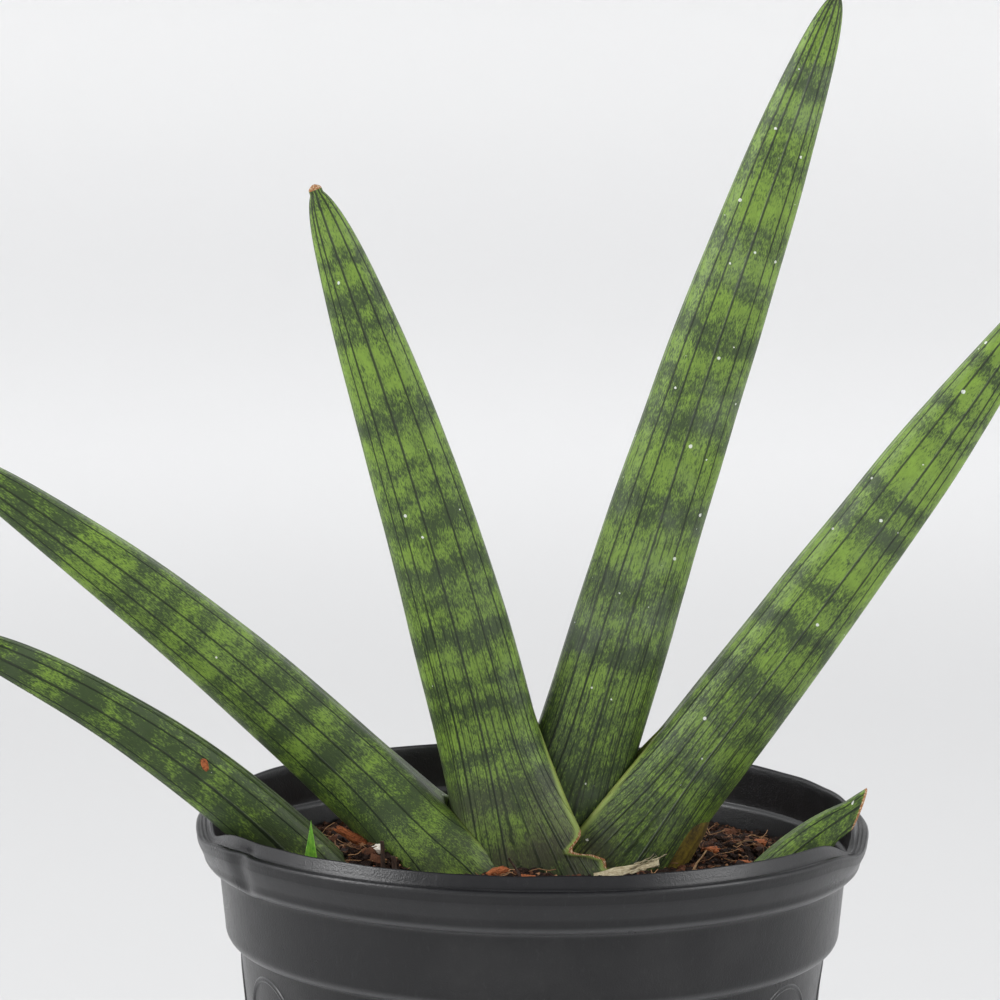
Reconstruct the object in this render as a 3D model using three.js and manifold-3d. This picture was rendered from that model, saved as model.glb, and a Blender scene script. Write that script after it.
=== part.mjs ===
// Potted snake plant: a round nursery pot, its soil, a fan of round banded leaves that
// clasp one another at the base, and the loose bits that lie on the soil.
// Millimetres, +Z up. Origin: centre of the pot's flat underside. The leaves fan out
// along X, and -Y is the front.
import * as THREE from "three";
import { mergeVertices } from "three/addons/utils/BufferGeometryUtils.js";
import Module from "manifold-3d";

const wasm = await Module();
wasm.setup();

// ---- driving sizes ---------------------------------------------------------------

const POT_HEIGHT = 165; // underside to the top of the lip
const RIM_RADIUS = 82.5; // outside of the collar's shoulder
const BASE_RADIUS = 60;
const WALL = 1.2;
const FLOOR = 2;
const LIP_SETBACK = 2.8; // shoulder's edge to the outside of the lip
const LIP_THICKNESS = 1.4;
const LIP_RISE = 2.7; // lip's top above the shoulder
const COLLAR_HEIGHT = 11.3; // shoulder down to the collar's lower edge
const COLLAR_STEP = 5.2; // collar's overhang beyond the band below it
const BAND_HEIGHT = 19; // collar's lower edge down to the band's lower edge
const BAND_TAPER = 1.8;
const BAND_STEP = 3.2; // band's overhang beyond the tapered wall
const DRAIN_COUNT = 8;
const DRAIN_RADIUS = 4.5;
const DRAIN_INSET = 11; // base edge to the drain holes' centres

const GAP = 0.3; // between pieces that touch
const SOIL_DROP = 17.5; // lip's top down to the soil at the wall
const ROOT_DEPTH = 27; // lip's top down to the buried leaf ends

// Levels and radii that follow from the sizes above.
const SHOULDER_Z = POT_HEIGHT - LIP_RISE;
const COLLAR_Z = SHOULDER_Z - COLLAR_HEIGHT;
const BAND_Z = COLLAR_Z - BAND_HEIGHT;
const BAND_TOP_RADIUS = RIM_RADIUS - COLLAR_STEP;
const BAND_FOOT_RADIUS = BAND_TOP_RADIUS - BAND_TAPER;
const WALL_TOP_RADIUS = BAND_FOOT_RADIUS - BAND_STEP;
const LIP_OUTER = RIM_RADIUS - LIP_SETBACK;
const LIP_INNER = LIP_OUTER - LIP_THICKNESS;

const POT_SEGMENTS = 60;
const LEAF_SIDES = 18;

// The leaf bases are nested: each leaf's base wraps round those listed before it.
// x, y: buried end. lean: degrees from upright towards +X at the buried end. bend: change
// of lean over the length. tilt: degrees towards +Y. width, depth: free leaf. clasp: half
// depth of the wrapping base. flare: extra reach of the base on its channel side.
// channel: +1 when the channel faces +X.
const TALL = {
  name: "leaf_tall", x: 0.8, y: 0.4, lean: 15.6, bend: 4.9, tilt: 3, length: 236,
  width: 27, depth: 19, clasp: 8, flare: 0, channel: -1, tip: 2.2, fullness: 0.46, rings: 24,
};
const RIGHT = {
  name: "leaf_right", x: 11.1, y: 0, lean: 37.4, bend: -1.5, tilt: 1, length: 191.6,
  width: 25, depth: 18, clasp: 11.5, flare: 2, channel: -1, tip: 2.4, fullness: 0.44, rings: 22,
};
const CENTRE = {
  name: "leaf_centre", x: -0.6, y: -0.3, lean: -11.2, bend: -9.7, tilt: -3, length: 186,
  width: 27, depth: 19, clasp: 16, flare: 11, channel: 1, tip: 3.4, fullness: 0.46, rings: 22,
};
const LEFT = {
  name: "leaf_left", x: -9.2, y: 0, lean: -42.1, bend: -14, tilt: -2, length: 174.6,
  width: 22.4, depth: 16, clasp: 19, flare: 0, channel: 1, tip: 2.2, fullness: 0.44, rings: 20,
};
const NESTED_LEAVES = [TALL, RIGHT, CENTRE, LEFT];

// Two offshoots lie over the lip. dip: how far the lip is pressed down there. clear: the
// leaf's underside above the pressed lip.
const LOW = {
  name: "leaf_low", x: -41.7, y: -12, dip: 3.6, clear: 3.6, bend: -28.2, tilt: -9,
  length: 123.7, width: 16.4, depth: 12.5, clasp: 6.2, flare: 0, channel: 1, tip: 2,
  fullness: 0.4, rings: 18,
};
const STUB_INSET = 32.6; // lip to the buried end of the stub
const STUB = {
  name: "leaf_stub", x: LIP_OUTER - STUB_INSET, y: -26, dip: 5, clear: 2.6, bend: 25, tilt: 3,
  length: 47.5, width: 14.5, depth: 10, clasp: 5, flare: 0, channel: -1, tip: 5,
  fullness: 0.5, rings: 10,
};

const CLASP_FULL = 14; // along the leaf, up to where the base wraps at its full depth
const CLASP_END = 52; // and up to where it is a free leaf
const FLARE_LENGTH = 42;

// ---- colours ---------------------------------------------------------------------

const COLOURS = {
  pot: [0x1f1f21, 0.5],
  soil: [0x3a251b, 0.95],
  leaf: [0x5f8238, 0.45],
  leaf_cut: [0x6a8f47, 0.5],
  sprout: [0x7fc83c, 0.5],
  old_leaf: [0x8a7420, 0.6],
  sheath: [0xc4bb98, 0.8],
  bark: [0x9b5733, 0.9],
  perlite: [0xe6e1d6, 0.9],
  stick: [0x3c2a22, 0.9],
  fibre: [0xc8a27c, 0.85],
};

function material(kind) {
  const [color, roughness] = COLOURS[kind];
  return new THREE.MeshStandardMaterial({ color, roughness, metalness: 0 });
}

// ---- small helpers ---------------------------------------------------------------

const radians = THREE.MathUtils.degToRad;
const smoothstep = THREE.MathUtils.smoothstep;

function toSolid(geometry) {
  const bare = geometry.clone();
  bare.deleteAttribute("normal");
  bare.deleteAttribute("uv");
  const merged = mergeVertices(bare, 1e-4);
  return new wasm.Manifold(new wasm.Mesh({
    numProp: 3,
    vertProperties: new Float32Array(merged.attributes.position.array),
    triVerts: new Uint32Array(merged.index.array),
  }));
}

function toGeometry(solid) {
  const mesh = solid.getMesh();
  const geometry = new THREE.BufferGeometry();
  geometry.setAttribute("position", new THREE.BufferAttribute(mesh.vertProperties, 3));
  geometry.setIndex(new THREE.BufferAttribute(mesh.triVerts, 1));
  geometry.computeVertexNormals();
  return geometry;
}

function subtractAll(geometry, cutters) {
  let solid = toSolid(geometry);
  for (const cutter of cutters) {
    solid = solid.subtract(toSolid(cutter));
  }
  return toGeometry(solid);
}

// A closed skin through rings of equal point counts, with a flat fan over each end.
function loft(rings) {
  const sides = rings[0].length;
  const points = [];
  const faces = [];
  for (const ring of rings) {
    for (const point of ring) {
      points.push(point.x, point.y, point.z);
    }
  }
  for (let i = 0; i + 1 < rings.length; i += 1) {
    for (let j = 0; j < sides; j += 1) {
      const a = i * sides + j;
      const b = i * sides + ((j + 1) % sides);
      faces.push(a, b, b + sides);
      faces.push(a, b + sides, a + sides);
    }
  }
  for (const [index, ring] of [[0, rings[0]], [rings.length - 1, rings[rings.length - 1]]]) {
    const centre = new THREE.Vector3();
    for (const point of ring) {
      centre.addScaledVector(point, 1 / sides);
    }
    const hub = points.length / 3;
    points.push(centre.x, centre.y, centre.z);
    for (let j = 0; j < sides; j += 1) {
      const a = index * sides + j;
      const b = index * sides + ((j + 1) % sides);
      faces.push(...(index === 0 ? [hub, b, a] : [hub, a, b]));
    }
  }
  const geometry = new THREE.BufferGeometry();
  geometry.setAttribute("position", new THREE.Float32BufferAttribute(points, 3));
  geometry.setIndex(faces);
  return geometry;
}

// ---- pot -------------------------------------------------------------------------

const STEP_ROUND = 4; // height of the rounded lower edge of the collar and of the band
const COLLAR_FOOT_INSET = 1.8; // collar's lower edge inside its shoulder
const INNER_LEDGE_RISE = 1.2;
const LIP_GROOVE = 0.8; // depth of the groove between the shoulder and the lip
const FOOT_ROUND = 1.5;

// Where an offshoot crosses the lip: the angle round the pot.
function crossingAngle(leaf) {
  const reach = Math.hypot(LIP_OUTER - Math.abs(leaf.x), ROOT_DEPTH);
  const angle = Math.asin((leaf.y + Math.tan(radians(leaf.tilt)) * reach) / LIP_OUTER);
  return leaf.x > 0 ? angle : Math.PI - angle;
}

// The soft pot has settled unevenly: the rim's two ends hang lower than its front and
// back, the right side sits lower than the left, and each offshoot presses the lip down.
const RIGHT_SAG = 0.011;
const END_SAG = 0.8;
const DIP_HALF_WIDTH = 11;

function settled(x, y, z) {
  const angle = Math.atan2(y, x);
  const upper = smoothstep(z, BAND_Z - 60, BAND_Z);
  const rim = smoothstep(z, COLLAR_Z, SHOULDER_Z);
  const radius = Math.hypot(x, y);
  let drop = upper * RIGHT_SAG * x;
  drop += rim * END_SAG * Math.cos(angle) ** 2 * smoothstep(radius, LIP_INNER / 2, LIP_INNER);
  const lip = smoothstep(z, SHOULDER_Z - LIP_GROOVE, POT_HEIGHT) * smoothstep(radius, LIP_INNER - 5, LIP_INNER);
  const shoulder = rim * smoothstep(radius, LIP_INNER - 5, LIP_INNER);
  for (const leaf of [LOW, STUB]) {
    const turn = angle - crossingAngle(leaf);
    const along = Math.atan2(Math.sin(turn), Math.cos(turn)) * LIP_OUTER;
    const near = Math.exp(-((along / DIP_HALF_WIDTH) ** 2));
    drop += leaf.dip * near * (0.55 * lip + 0.45 * shoulder);
  }
  return z - drop;
}

function settle(geometry) {
  const position = geometry.attributes.position;
  for (let i = 0; i < position.count; i += 1) {
    const [x, y, z] = [position.getX(i), position.getY(i), position.getZ(i)];
    position.setZ(i, settled(x, y, z));
  }
  return geometry;
}

// A rounded step in a profile: out from (r0, z0), then up to (r1, z1).
function roundedStep(r0, z0, r1, z1, steps) {
  const points = [];
  for (let i = 0; i <= steps; i += 1) {
    const angle = (i / steps) * (Math.PI / 2);
    const r = r0 + (r1 - r0) * Math.sin(angle);
    const z = z1 - (z1 - z0) * Math.cos(angle);
    points.push(new THREE.Vector2(r, z));
  }
  return points;
}

// The inside of the wall from the ledge below the collar down to the floor, moved out by
// grow: the soil's side is the same line moved inwards by the gap.
function innerLine(grow) {
  const band = BAND_TOP_RADIUS - WALL + grow;
  const bandFoot = BAND_FOOT_RADIUS - WALL + grow;
  const wallTop = WALL_TOP_RADIUS - WALL + grow;
  const base = BASE_RADIUS - WALL + grow;
  return [
    new THREE.Vector2(band, COLLAR_Z + INNER_LEDGE_RISE),
    new THREE.Vector2(bandFoot, BAND_Z + STEP_ROUND),
    new THREE.Vector2(wallTop, BAND_Z + WALL - 2 * grow),
    new THREE.Vector2(base, FLOOR - grow),
  ];
}

function turn(profile, segments) {
  const geometry = new THREE.LatheGeometry(profile, segments);
  geometry.rotateX(Math.PI / 2);
  return geometry;
}

function potProfile() {
  const collarFoot = RIM_RADIUS - COLLAR_FOOT_INSET;
  const lipTop = POT_HEIGHT - LIP_THICKNESS / 2;
  return [
    new THREE.Vector2(0, 0),
    new THREE.Vector2(BASE_RADIUS - FOOT_ROUND, 0),
    new THREE.Vector2(BASE_RADIUS, FOOT_ROUND),
    ...roundedStep(WALL_TOP_RADIUS, BAND_Z, BAND_FOOT_RADIUS, BAND_Z + STEP_ROUND, 3),
    ...roundedStep(BAND_TOP_RADIUS, COLLAR_Z, collarFoot, COLLAR_Z + STEP_ROUND, 3),
    new THREE.Vector2(RIM_RADIUS, SHOULDER_Z - 1),
    new THREE.Vector2(RIM_RADIUS - 0.6, SHOULDER_Z),
    new THREE.Vector2(LIP_OUTER + 0.6, SHOULDER_Z - LIP_GROOVE),
    new THREE.Vector2(LIP_OUTER, lipTop),
    new THREE.Vector2((LIP_OUTER + LIP_INNER) / 2, POT_HEIGHT),
    new THREE.Vector2(LIP_INNER, lipTop),
    new THREE.Vector2(LIP_INNER - 0.6, COLLAR_Z + INNER_LEDGE_RISE + WALL),
    ...innerLine(0),
    new THREE.Vector2(0, FLOOR),
  ];
}

function drainHole(index) {
  const angle = (index / DRAIN_COUNT) * 2 * Math.PI;
  const hole = new THREE.CylinderGeometry(DRAIN_RADIUS, DRAIN_RADIUS, 3 * FLOOR, 16);
  hole.rotateX(Math.PI / 2);
  const reach = BASE_RADIUS - DRAIN_INSET;
  hole.translate(reach * Math.cos(angle), reach * Math.sin(angle), FLOOR / 2);
  return hole;
}

function potGeometry() {
  const shell = settle(turn(potProfile(), POT_SEGMENTS));
  const holes = [];
  for (let i = 0; i < DRAIN_COUNT; i += 1) {
    holes.push(drainHole(i));
  }
  return subtractAll(shell, holes);
}

// ---- soil surface ----------------------------------------------------------------

const SOIL_Z = POT_HEIGHT - SOIL_DROP;
const HEAPS = [
  { x: 4, y: 0, spreadX: 46, spreadY: 34, height: 3.4 }, // round the leaf bases
  { x: -40, y: -12, spreadX: 10, spreadY: 10, height: 7.5 }, // between the two left leaves
  { x: -6, y: -23, spreadX: 9, spreadY: 8, height: 2.2 }, // in front of the centre leaf
  { x: 47, y: 13, spreadX: 17, spreadY: 18, height: 4.6 }, // right of the right leaf
];
const SOIL_RINGS = 9;
const SOIL_SEGMENTS = 40;
const SOIL_WALL_BAND = 12; // the heaps fade out this close to the wall

function soilRadius() {
  const [top, foot] = innerLine(-GAP);
  const share = (SOIL_Z - foot.y) / (top.y - foot.y);
  return foot.x + (top.x - foot.x) * share;
}

function soilTop(x, y) {
  const edge = smoothstep(soilRadius() - Math.hypot(x, y), 0, SOIL_WALL_BAND);
  let height = 0;
  for (const heap of HEAPS) {
    const across = (x - heap.x) / heap.spreadX;
    const along = (y - heap.y) / heap.spreadY;
    height += heap.height * Math.exp(-(across * across) - along * along);
  }
  const grain = 0.5 * Math.sin(0.31 * x + 0.9) * Math.cos(0.37 * y) + 0.35 * Math.sin(0.57 * x - 0.49 * y);
  return settled(x, y, SOIL_Z) + edge * (height + grain);
}

function soilBody() {
  const outer = soilRadius();
  const [, bandFoot, wallTop, base] = innerLine(-GAP);
  const profile = [new THREE.Vector2(0, base.y), base, wallTop, bandFoot];
  for (let ring = SOIL_RINGS; ring > 0; ring -= 1) {
    profile.push(new THREE.Vector2((outer * ring) / SOIL_RINGS, SOIL_Z));
  }
  profile.push(new THREE.Vector2(0, SOIL_Z));
  const geometry = settle(turn(profile, SOIL_SEGMENTS));
  const position = geometry.attributes.position;
  const limit = bandFoot.y + (SOIL_Z - bandFoot.y) / 2;
  for (let i = 0; i < position.count; i += 1) {
    if (position.getZ(i) > limit) {
      position.setZ(i, soilTop(position.getX(i), position.getY(i)));
    }
  }
  return geometry;
}

// ---- leaves ----------------------------------------------------------------------

// Gives an offshoot the lean that carries its axis over the lip.
function leanOverLip(leaf) {
  const across = Math.cos(crossingAngle(leaf)) * LIP_OUTER - leaf.x;
  let lift = leaf.clear + leaf.width / 2;
  let lean = 0;
  for (let pass = 0; pass < 6; pass += 1) {
    const rise = ROOT_DEPTH - leaf.dip + lift;
    const reach = Math.hypot(across, rise);
    const chord = THREE.MathUtils.radToDeg(Math.atan2(across, rise));
    const turned = (leaf.bend * reach) / leaf.length / 2;
    lean = chord - turned;
    const slope = Math.abs(Math.sin(radians(chord + turned)));
    lift = leaf.clear + leafSection(leaf, reach).halfWidth / slope;
  }
  return { ...leaf, lean };
}

// A leaf's axis is an arc that starts at the buried end and leans steadily more or less.
function axisPoint(leaf, s) {
  const start = radians(leaf.lean);
  const rate = radians(leaf.bend) / leaf.length;
  const heading = start + rate * s;
  const x = leaf.x + (Math.cos(start) - Math.cos(heading)) / rate;
  const z = POT_HEIGHT - ROOT_DEPTH + (Math.sin(heading) - Math.sin(start)) / rate;
  const y = leaf.y + Math.tan(radians(leaf.tilt)) * s;
  return { heading, point: new THREE.Vector3(x, y, z) };
}

// Half widths of the leaf at a distance s along it.
function leafSection(leaf, s) {
  const share = 1 - s / leaf.length;
  const tipShare = leaf.tip / leaf.width;
  const taper = Math.max((1 - (1 - share) ** 2) ** leaf.fullness, tipShare);
  const free = smoothstep(s, CLASP_FULL, CLASP_END);
  const flare = leaf.flare * Math.max(0, 1 - s / FLARE_LENGTH) ** 2;
  return {
    halfWidth: (leaf.width / 2) * taper,
    halfDepth: THREE.MathUtils.lerp(leaf.clasp, (leaf.depth / 2) * taper, free),
    flare,
    squareness: THREE.MathUtils.lerp(2 / 3, 0.92, free),
  };
}

const CHANNEL_DEPTH = 0.1; // share of the leaf's radius
const CHANNEL_SPREAD = 0.35; // radians

function leafRing(leaf, s, grow) {
  const { heading, point } = axisPoint(leaf, s);
  const { halfWidth, halfDepth, flare, squareness } = leafSection(leaf, s);
  const across = new THREE.Vector3(Math.cos(heading), 0, -Math.sin(heading));
  const ring = [];
  for (let j = 0; j < LEAF_SIDES; j += 1) {
    const angle = (j / LEAF_SIDES) * 2 * Math.PI;
    const cos = Math.cos(angle);
    const sin = Math.sin(angle);
    const towards = cos * leaf.channel > 0 ? flare : 0;
    const turned = leaf.channel > 0 ? angle : angle - Math.PI;
    const away = Math.atan2(Math.sin(turned), Math.cos(turned)) / CHANNEL_SPREAD;
    const dent = grow > 0 ? 1 : 1 - CHANNEL_DEPTH * Math.exp(-away * away);
    const u = Math.sign(cos) * Math.abs(cos) ** squareness * (halfWidth + towards + grow) * dent;
    const v = Math.sign(sin) * Math.abs(sin) ** squareness * (halfDepth + grow);
    const spot = point.clone().addScaledVector(across, u);
    spot.y += v;
    ring.push(spot);
  }
  return ring;
}

// grow makes the same leaf a little larger all round, for cutting its seat in a neighbour.
function leafGeometry(leaf, grow) {
  const rings = [];
  if (grow > 0) {
    rings.push(leafRing(leaf, -grow, grow));
  }
  for (let i = 0; i <= leaf.rings; i += 1) {
    const share = i / leaf.rings;
    const eased = 1 - (1 - share) ** 1.5;
    rings.push(leafRing(leaf, leaf.length * eased, grow));
  }
  return loft(rings);
}

// ---- thin and loose pieces -------------------------------------------------------

// A thin blade from root to tip, bowed sideways, widest a third of the way up.
function bladeGeometry(blade, grow) {
  const root = new THREE.Vector3(...blade.root);
  const tip = new THREE.Vector3(...blade.tip);
  const length = root.distanceTo(tip);
  const along = tip.clone().sub(root).normalize();
  const side = new THREE.Vector3(...blade.side).normalize();
  const normal = new THREE.Vector3().crossVectors(side, along).normalize();
  const rings = [];
  for (let i = 0; i <= blade.steps; i += 1) {
    const share = i / blade.steps;
    const bow = blade.bow * Math.sin(Math.PI * share);
    const centre = root.clone().addScaledVector(along, length * share).addScaledVector(normal, bow);
    const taper = Math.max(blade.end, (1 - share ** 2.2) * (0.75 + 0.25 * Math.sin(Math.PI * share)));
    const ring = [];
    for (let j = 0; j < 8; j += 1) {
      const angle = (j / 8) * 2 * Math.PI;
      const u = Math.cos(angle) * ((blade.width / 2) * taper + grow);
      const v = Math.sin(angle) * (blade.thickness / 2 + grow);
      ring.push(centre.clone().addScaledVector(side, u).addScaledVector(normal, v));
    }
    rings.push(ring);
  }
  return orientOutwards(loft(rings));
}

// Turns every face round when the closed skin's volume comes out negative.
function orientOutwards(geometry) {
  const position = geometry.attributes.position;
  const index = geometry.index.array;
  const [a, b, c] = [new THREE.Vector3(), new THREE.Vector3(), new THREE.Vector3()];
  let volume = 0;
  for (let i = 0; i < index.length; i += 3) {
    a.fromBufferAttribute(position, index[i]);
    b.fromBufferAttribute(position, index[i + 1]);
    c.fromBufferAttribute(position, index[i + 2]);
    volume += a.dot(b.cross(c));
  }
  if (volume < 0) {
    for (let i = 0; i < index.length; i += 3) {
      [index[i + 1], index[i + 2]] = [index[i + 2], index[i + 1]];
    }
  }
  return geometry;
}

// A rough lump or chip: a faceted ball stretched to size, turned and laid on the soil.
// sink: how much of its height is below the soil's surface.
function lumpGeometry(lump, grow) {
  const geometry = mergeVertices(stripped(new THREE.IcosahedronGeometry(1, lump.detail ?? 0)), 1e-4);
  const [length, width, height] = lump.size;
  geometry.scale(length / 2 + grow, width / 2 + grow, height / 2 + grow);
  geometry.rotateX(radians(lump.roll ?? 0));
  geometry.rotateY(radians(-(lump.pitch ?? 0)));
  geometry.rotateZ(radians(lump.yaw ?? 0));
  const rest = soilTop(lump.x, lump.y) + height * (0.5 - lump.sink);
  geometry.translate(lump.x, lump.y, rest + (lump.lift ?? 0));
  return geometry;
}

function stripped(geometry) {
  geometry.deleteAttribute("normal");
  geometry.deleteAttribute("uv");
  return geometry;
}

const LUMPS = [
  { name: "bark_chip_1", kind: "bark", x: -43.5, y: -8.5, size: [9, 3, 2.2], yaw: -12, pitch: -28, sink: 0.3, lift: 2.6 },
  { name: "bark_chip_2", kind: "bark", x: -27.5, y: -26, size: [4.5, 3, 1.8], yaw: 20, sink: 0.3 },
  { name: "bark_chip_3", kind: "bark", x: -8.5, y: -22.5, size: [5, 3.4, 2.2], yaw: 25, pitch: 12, sink: 0.35 },
  { name: "bark_chip_4", kind: "bark", x: -1.5, y: -24, size: [4, 2.8, 1.8], yaw: -30, sink: 0.3 },
  { name: "bark_chip_5", kind: "bark", x: -20, y: 30, size: [4.2, 2.6, 2], yaw: 50, sink: 0.25 },
  { name: "bark_chip_6", kind: "bark", x: 44, y: 2, size: [4.4, 2.6, 1.8], yaw: 15, sink: 0.3 },
  { name: "bark_chip_7", kind: "bark", x: 57, y: 14, size: [4, 3, 1.7], yaw: 70, sink: 0.3 },
  { name: "bark_chip_8", kind: "bark", x: 52, y: -3, size: [5.6, 2.2, 1.6], yaw: -35, sink: 0.3 },
  { name: "perlite_1", kind: "perlite", x: -37.5, y: -15.5, size: [3, 2.4, 2.2], yaw: 10, sink: 0.3 },
  { name: "perlite_2", kind: "perlite", x: -18.5, y: -27, size: [2.4, 2.2, 1.9], yaw: 40, sink: 0.35 },
  { name: "perlite_3", kind: "perlite", x: -12.5, y: -29, size: [2, 1.8, 1.6], yaw: 0, sink: 0.35 },
  { name: "perlite_4", kind: "perlite", x: 41.5, y: 20, size: [2.6, 2.2, 2], yaw: 0, sink: 0.3 },
];

const SPROUT_ANGLE = 223.6; // degrees round the pot
const SPROUT_INSET = 3.3; // from the pot's wall

// Straight or bowed strips that stand or lean in the soil.
function blades() {
  const soil = (x, y, above) => [x, y, soilTop(x, y) + above];
  const sproutX = (soilRadius() - SPROUT_INSET) * Math.cos(radians(SPROUT_ANGLE));
  const sproutY = (soilRadius() - SPROUT_INSET) * Math.sin(radians(SPROUT_ANGLE));
  return [
    {
      name: "grass_sprout", kind: "sprout",
      root: soil(sproutX, sproutY, -5), tip: soil(sproutX + 0.4, sproutY + 0.3, 22.6),
      side: [1, 0.15, 0], width: 3.9, thickness: 0.7, bow: -0.8, end: 0.12, steps: 10,
    },
    {
      name: "dry_sheath", kind: "sheath", root: soil(15, -17.5, -1.5), tip: soil(33, -18.5, 2.6),
      side: [-0.1, 0.6, 0.8], width: 3.6, thickness: 0.8, bow: 0.5, end: 0.2, steps: 8,
    },
    {
      name: "stick_1", kind: "stick", root: soil(-35.5, -21.5, -4), tip: soil(-36.6, -20.5, 7.5),
      side: [1, 0, 0], width: 1.6, thickness: 1.3, bow: 0.1, end: 0.6, steps: 3,
    },
    {
      name: "stick_2", kind: "stick", root: soil(-32.2, -22.5, -4), tip: soil(-33.9, -21.5, 5.8),
      side: [1, 0, 0], width: 1.9, thickness: 1.4, bow: 0.1, end: 0.6, steps: 3,
    },
    {
      name: "twig_1", kind: "stick", root: soil(-1.2, -27.6, -1.5), tip: soil(-5.6, -25.6, 5.2),
      side: [0.8, 0.6, 0], width: 0.9, thickness: 0.8, bow: 0.3, end: 0.7, steps: 4,
    },
    {
      name: "fibre_1", kind: "fibre", root: soil(37.4, -15.5, -1.2), tip: soil(42.2, -13.5, 7.4),
      side: [0.5, -0.8, 0], width: 0.8, thickness: 0.7, bow: 0.5, end: 0.7, steps: 5,
    },
    {
      name: "fibre_2", kind: "fibre", root: soil(47.4, 5.5, -1), tip: soil(54.6, 6.5, 3.4),
      side: [0, 1, 0], width: 0.8, thickness: 0.7, bow: -0.8, end: 0.7, steps: 5,
    },
  ];
}

// The dead outermost leaf base, wrapped round the lower side of the right leaf.
const OLD_BASE = {
  ...RIGHT, name: "old_leaf_base", x: RIGHT.x + 3.2, y: RIGHT.y - 0.6, length: 38,
  clasp: RIGHT.clasp - 2.5, tip: 5, fullness: 0.12, flare: 0, rings: 9,
};

// The bark bit that lies on the low leaf, on the leaf's front face.
const BARK_BIT = { name: "bark_bit", along: 0.45, up: 0.45, size: [1.6, 0.9, 3] };

function barkBitGeometry(leaf) {
  const s = leaf.length * BARK_BIT.along;
  const { heading, point } = axisPoint(leaf, s);
  const { halfWidth, halfDepth } = leafSection(leaf, s);
  const up = BARK_BIT.up;
  const geometry = mergeVertices(stripped(new THREE.IcosahedronGeometry(1, 0)), 1e-4);
  const [width, thickness, height] = BARK_BIT.size;
  geometry.scale(width / 2, thickness / 2, height / 2);
  geometry.rotateY(radians(15));
  const clear = halfDepth * Math.sqrt(1 - up * up) + thickness / 2 + 2 * GAP;
  geometry.translate(
    point.x + halfWidth * up * Math.cos(heading),
    point.y - clear,
    point.z - halfWidth * up * Math.sin(heading),
  );
  return geometry;
}

// ---- assembly --------------------------------------------------------------------

const plant = new THREE.Group();

function addPiece(name, geometry, kind) {
  const mesh = new THREE.Mesh(geometry, material(kind));
  mesh.name = name;
  plant.add(mesh);
}

const low = leanOverLip(LOW);
const stub = leanOverLip(STUB);

addPiece("pot", potGeometry(), "pot");

const seats = [];
for (const leaf of NESTED_LEAVES) {
  addPiece(leaf.name, subtractAll(leafGeometry(leaf, 0), seats), "leaf");
  seats.push(leafGeometry(leaf, GAP));
}
addPiece(low.name, subtractAll(leafGeometry(low, 0), seats), "leaf");
addPiece(OLD_BASE.name, subtractAll(leafGeometry(OLD_BASE, 0), seats), "old_leaf");
seats.push(leafGeometry(OLD_BASE, GAP));
addPiece(stub.name, leafGeometry(stub, 0), "leaf_cut");
seats.push(leafGeometry(low, GAP), leafGeometry(stub, GAP));

for (const blade of blades()) {
  addPiece(blade.name, subtractAll(bladeGeometry(blade, 0), seats), blade.kind);
  seats.push(bladeGeometry(blade, GAP));
}
for (const lump of LUMPS) {
  addPiece(lump.name, subtractAll(lumpGeometry(lump, 0), seats), lump.kind);
  seats.push(lumpGeometry(lump, GAP));
}
addPiece(BARK_BIT.name, barkBitGeometry(low), "bark");

addPiece("soil", subtractAll(soilBody(), seats), "soil");

export default plant;
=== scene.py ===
"""Potted snake plant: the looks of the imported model, laid out as an add-on and run as a script."""

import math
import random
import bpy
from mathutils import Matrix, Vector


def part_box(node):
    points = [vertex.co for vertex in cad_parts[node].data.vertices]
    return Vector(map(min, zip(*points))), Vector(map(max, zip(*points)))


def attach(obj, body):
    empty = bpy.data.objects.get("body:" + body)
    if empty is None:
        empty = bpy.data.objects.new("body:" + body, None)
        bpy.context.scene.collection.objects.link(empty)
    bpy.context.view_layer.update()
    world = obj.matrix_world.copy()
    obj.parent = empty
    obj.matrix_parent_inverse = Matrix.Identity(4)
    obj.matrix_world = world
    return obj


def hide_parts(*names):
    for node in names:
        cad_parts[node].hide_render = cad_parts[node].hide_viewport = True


bl_info = {
    "name": "Potted snake plant",
    "version": (1, 0, 0),
    "blender": (4, 5, 0),
    "location": "View3D > Sidebar > Snake plant",
    "description": "Builds a potted snake plant round its packed frame",
    "category": "Add Mesh",
}

from dataclasses import dataclass

import bmesh
import bpy
from mathutils import Matrix, Vector, noise

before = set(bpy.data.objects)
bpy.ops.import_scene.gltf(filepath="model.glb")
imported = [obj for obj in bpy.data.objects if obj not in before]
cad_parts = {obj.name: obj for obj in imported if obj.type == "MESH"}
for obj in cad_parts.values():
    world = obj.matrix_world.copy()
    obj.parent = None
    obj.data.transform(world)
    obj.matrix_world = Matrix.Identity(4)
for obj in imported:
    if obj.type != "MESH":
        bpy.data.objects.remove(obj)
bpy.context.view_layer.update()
POT_LOW, POT_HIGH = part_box("pot")

MM = 0.001  # every length below is in millimetres unless its name says otherwise
RIM_RADIUS = (POT_HIGH.x - POT_LOW.x) / 2 / MM


# ---- sizes and colours a user would change -----------------------------------------


def length_setting(name, description, default_mm):
    return bpy.props.FloatProperty(
        name=name, description=description, default=default_mm * MM, min=0.0, unit="LENGTH", precision=5
    )


def colour_setting(name, description, default):
    return bpy.props.FloatVectorProperty(
        name=name, description=description, default=default, size=3, min=0.0, max=1.0, subtype="COLOR"
    )


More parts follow.
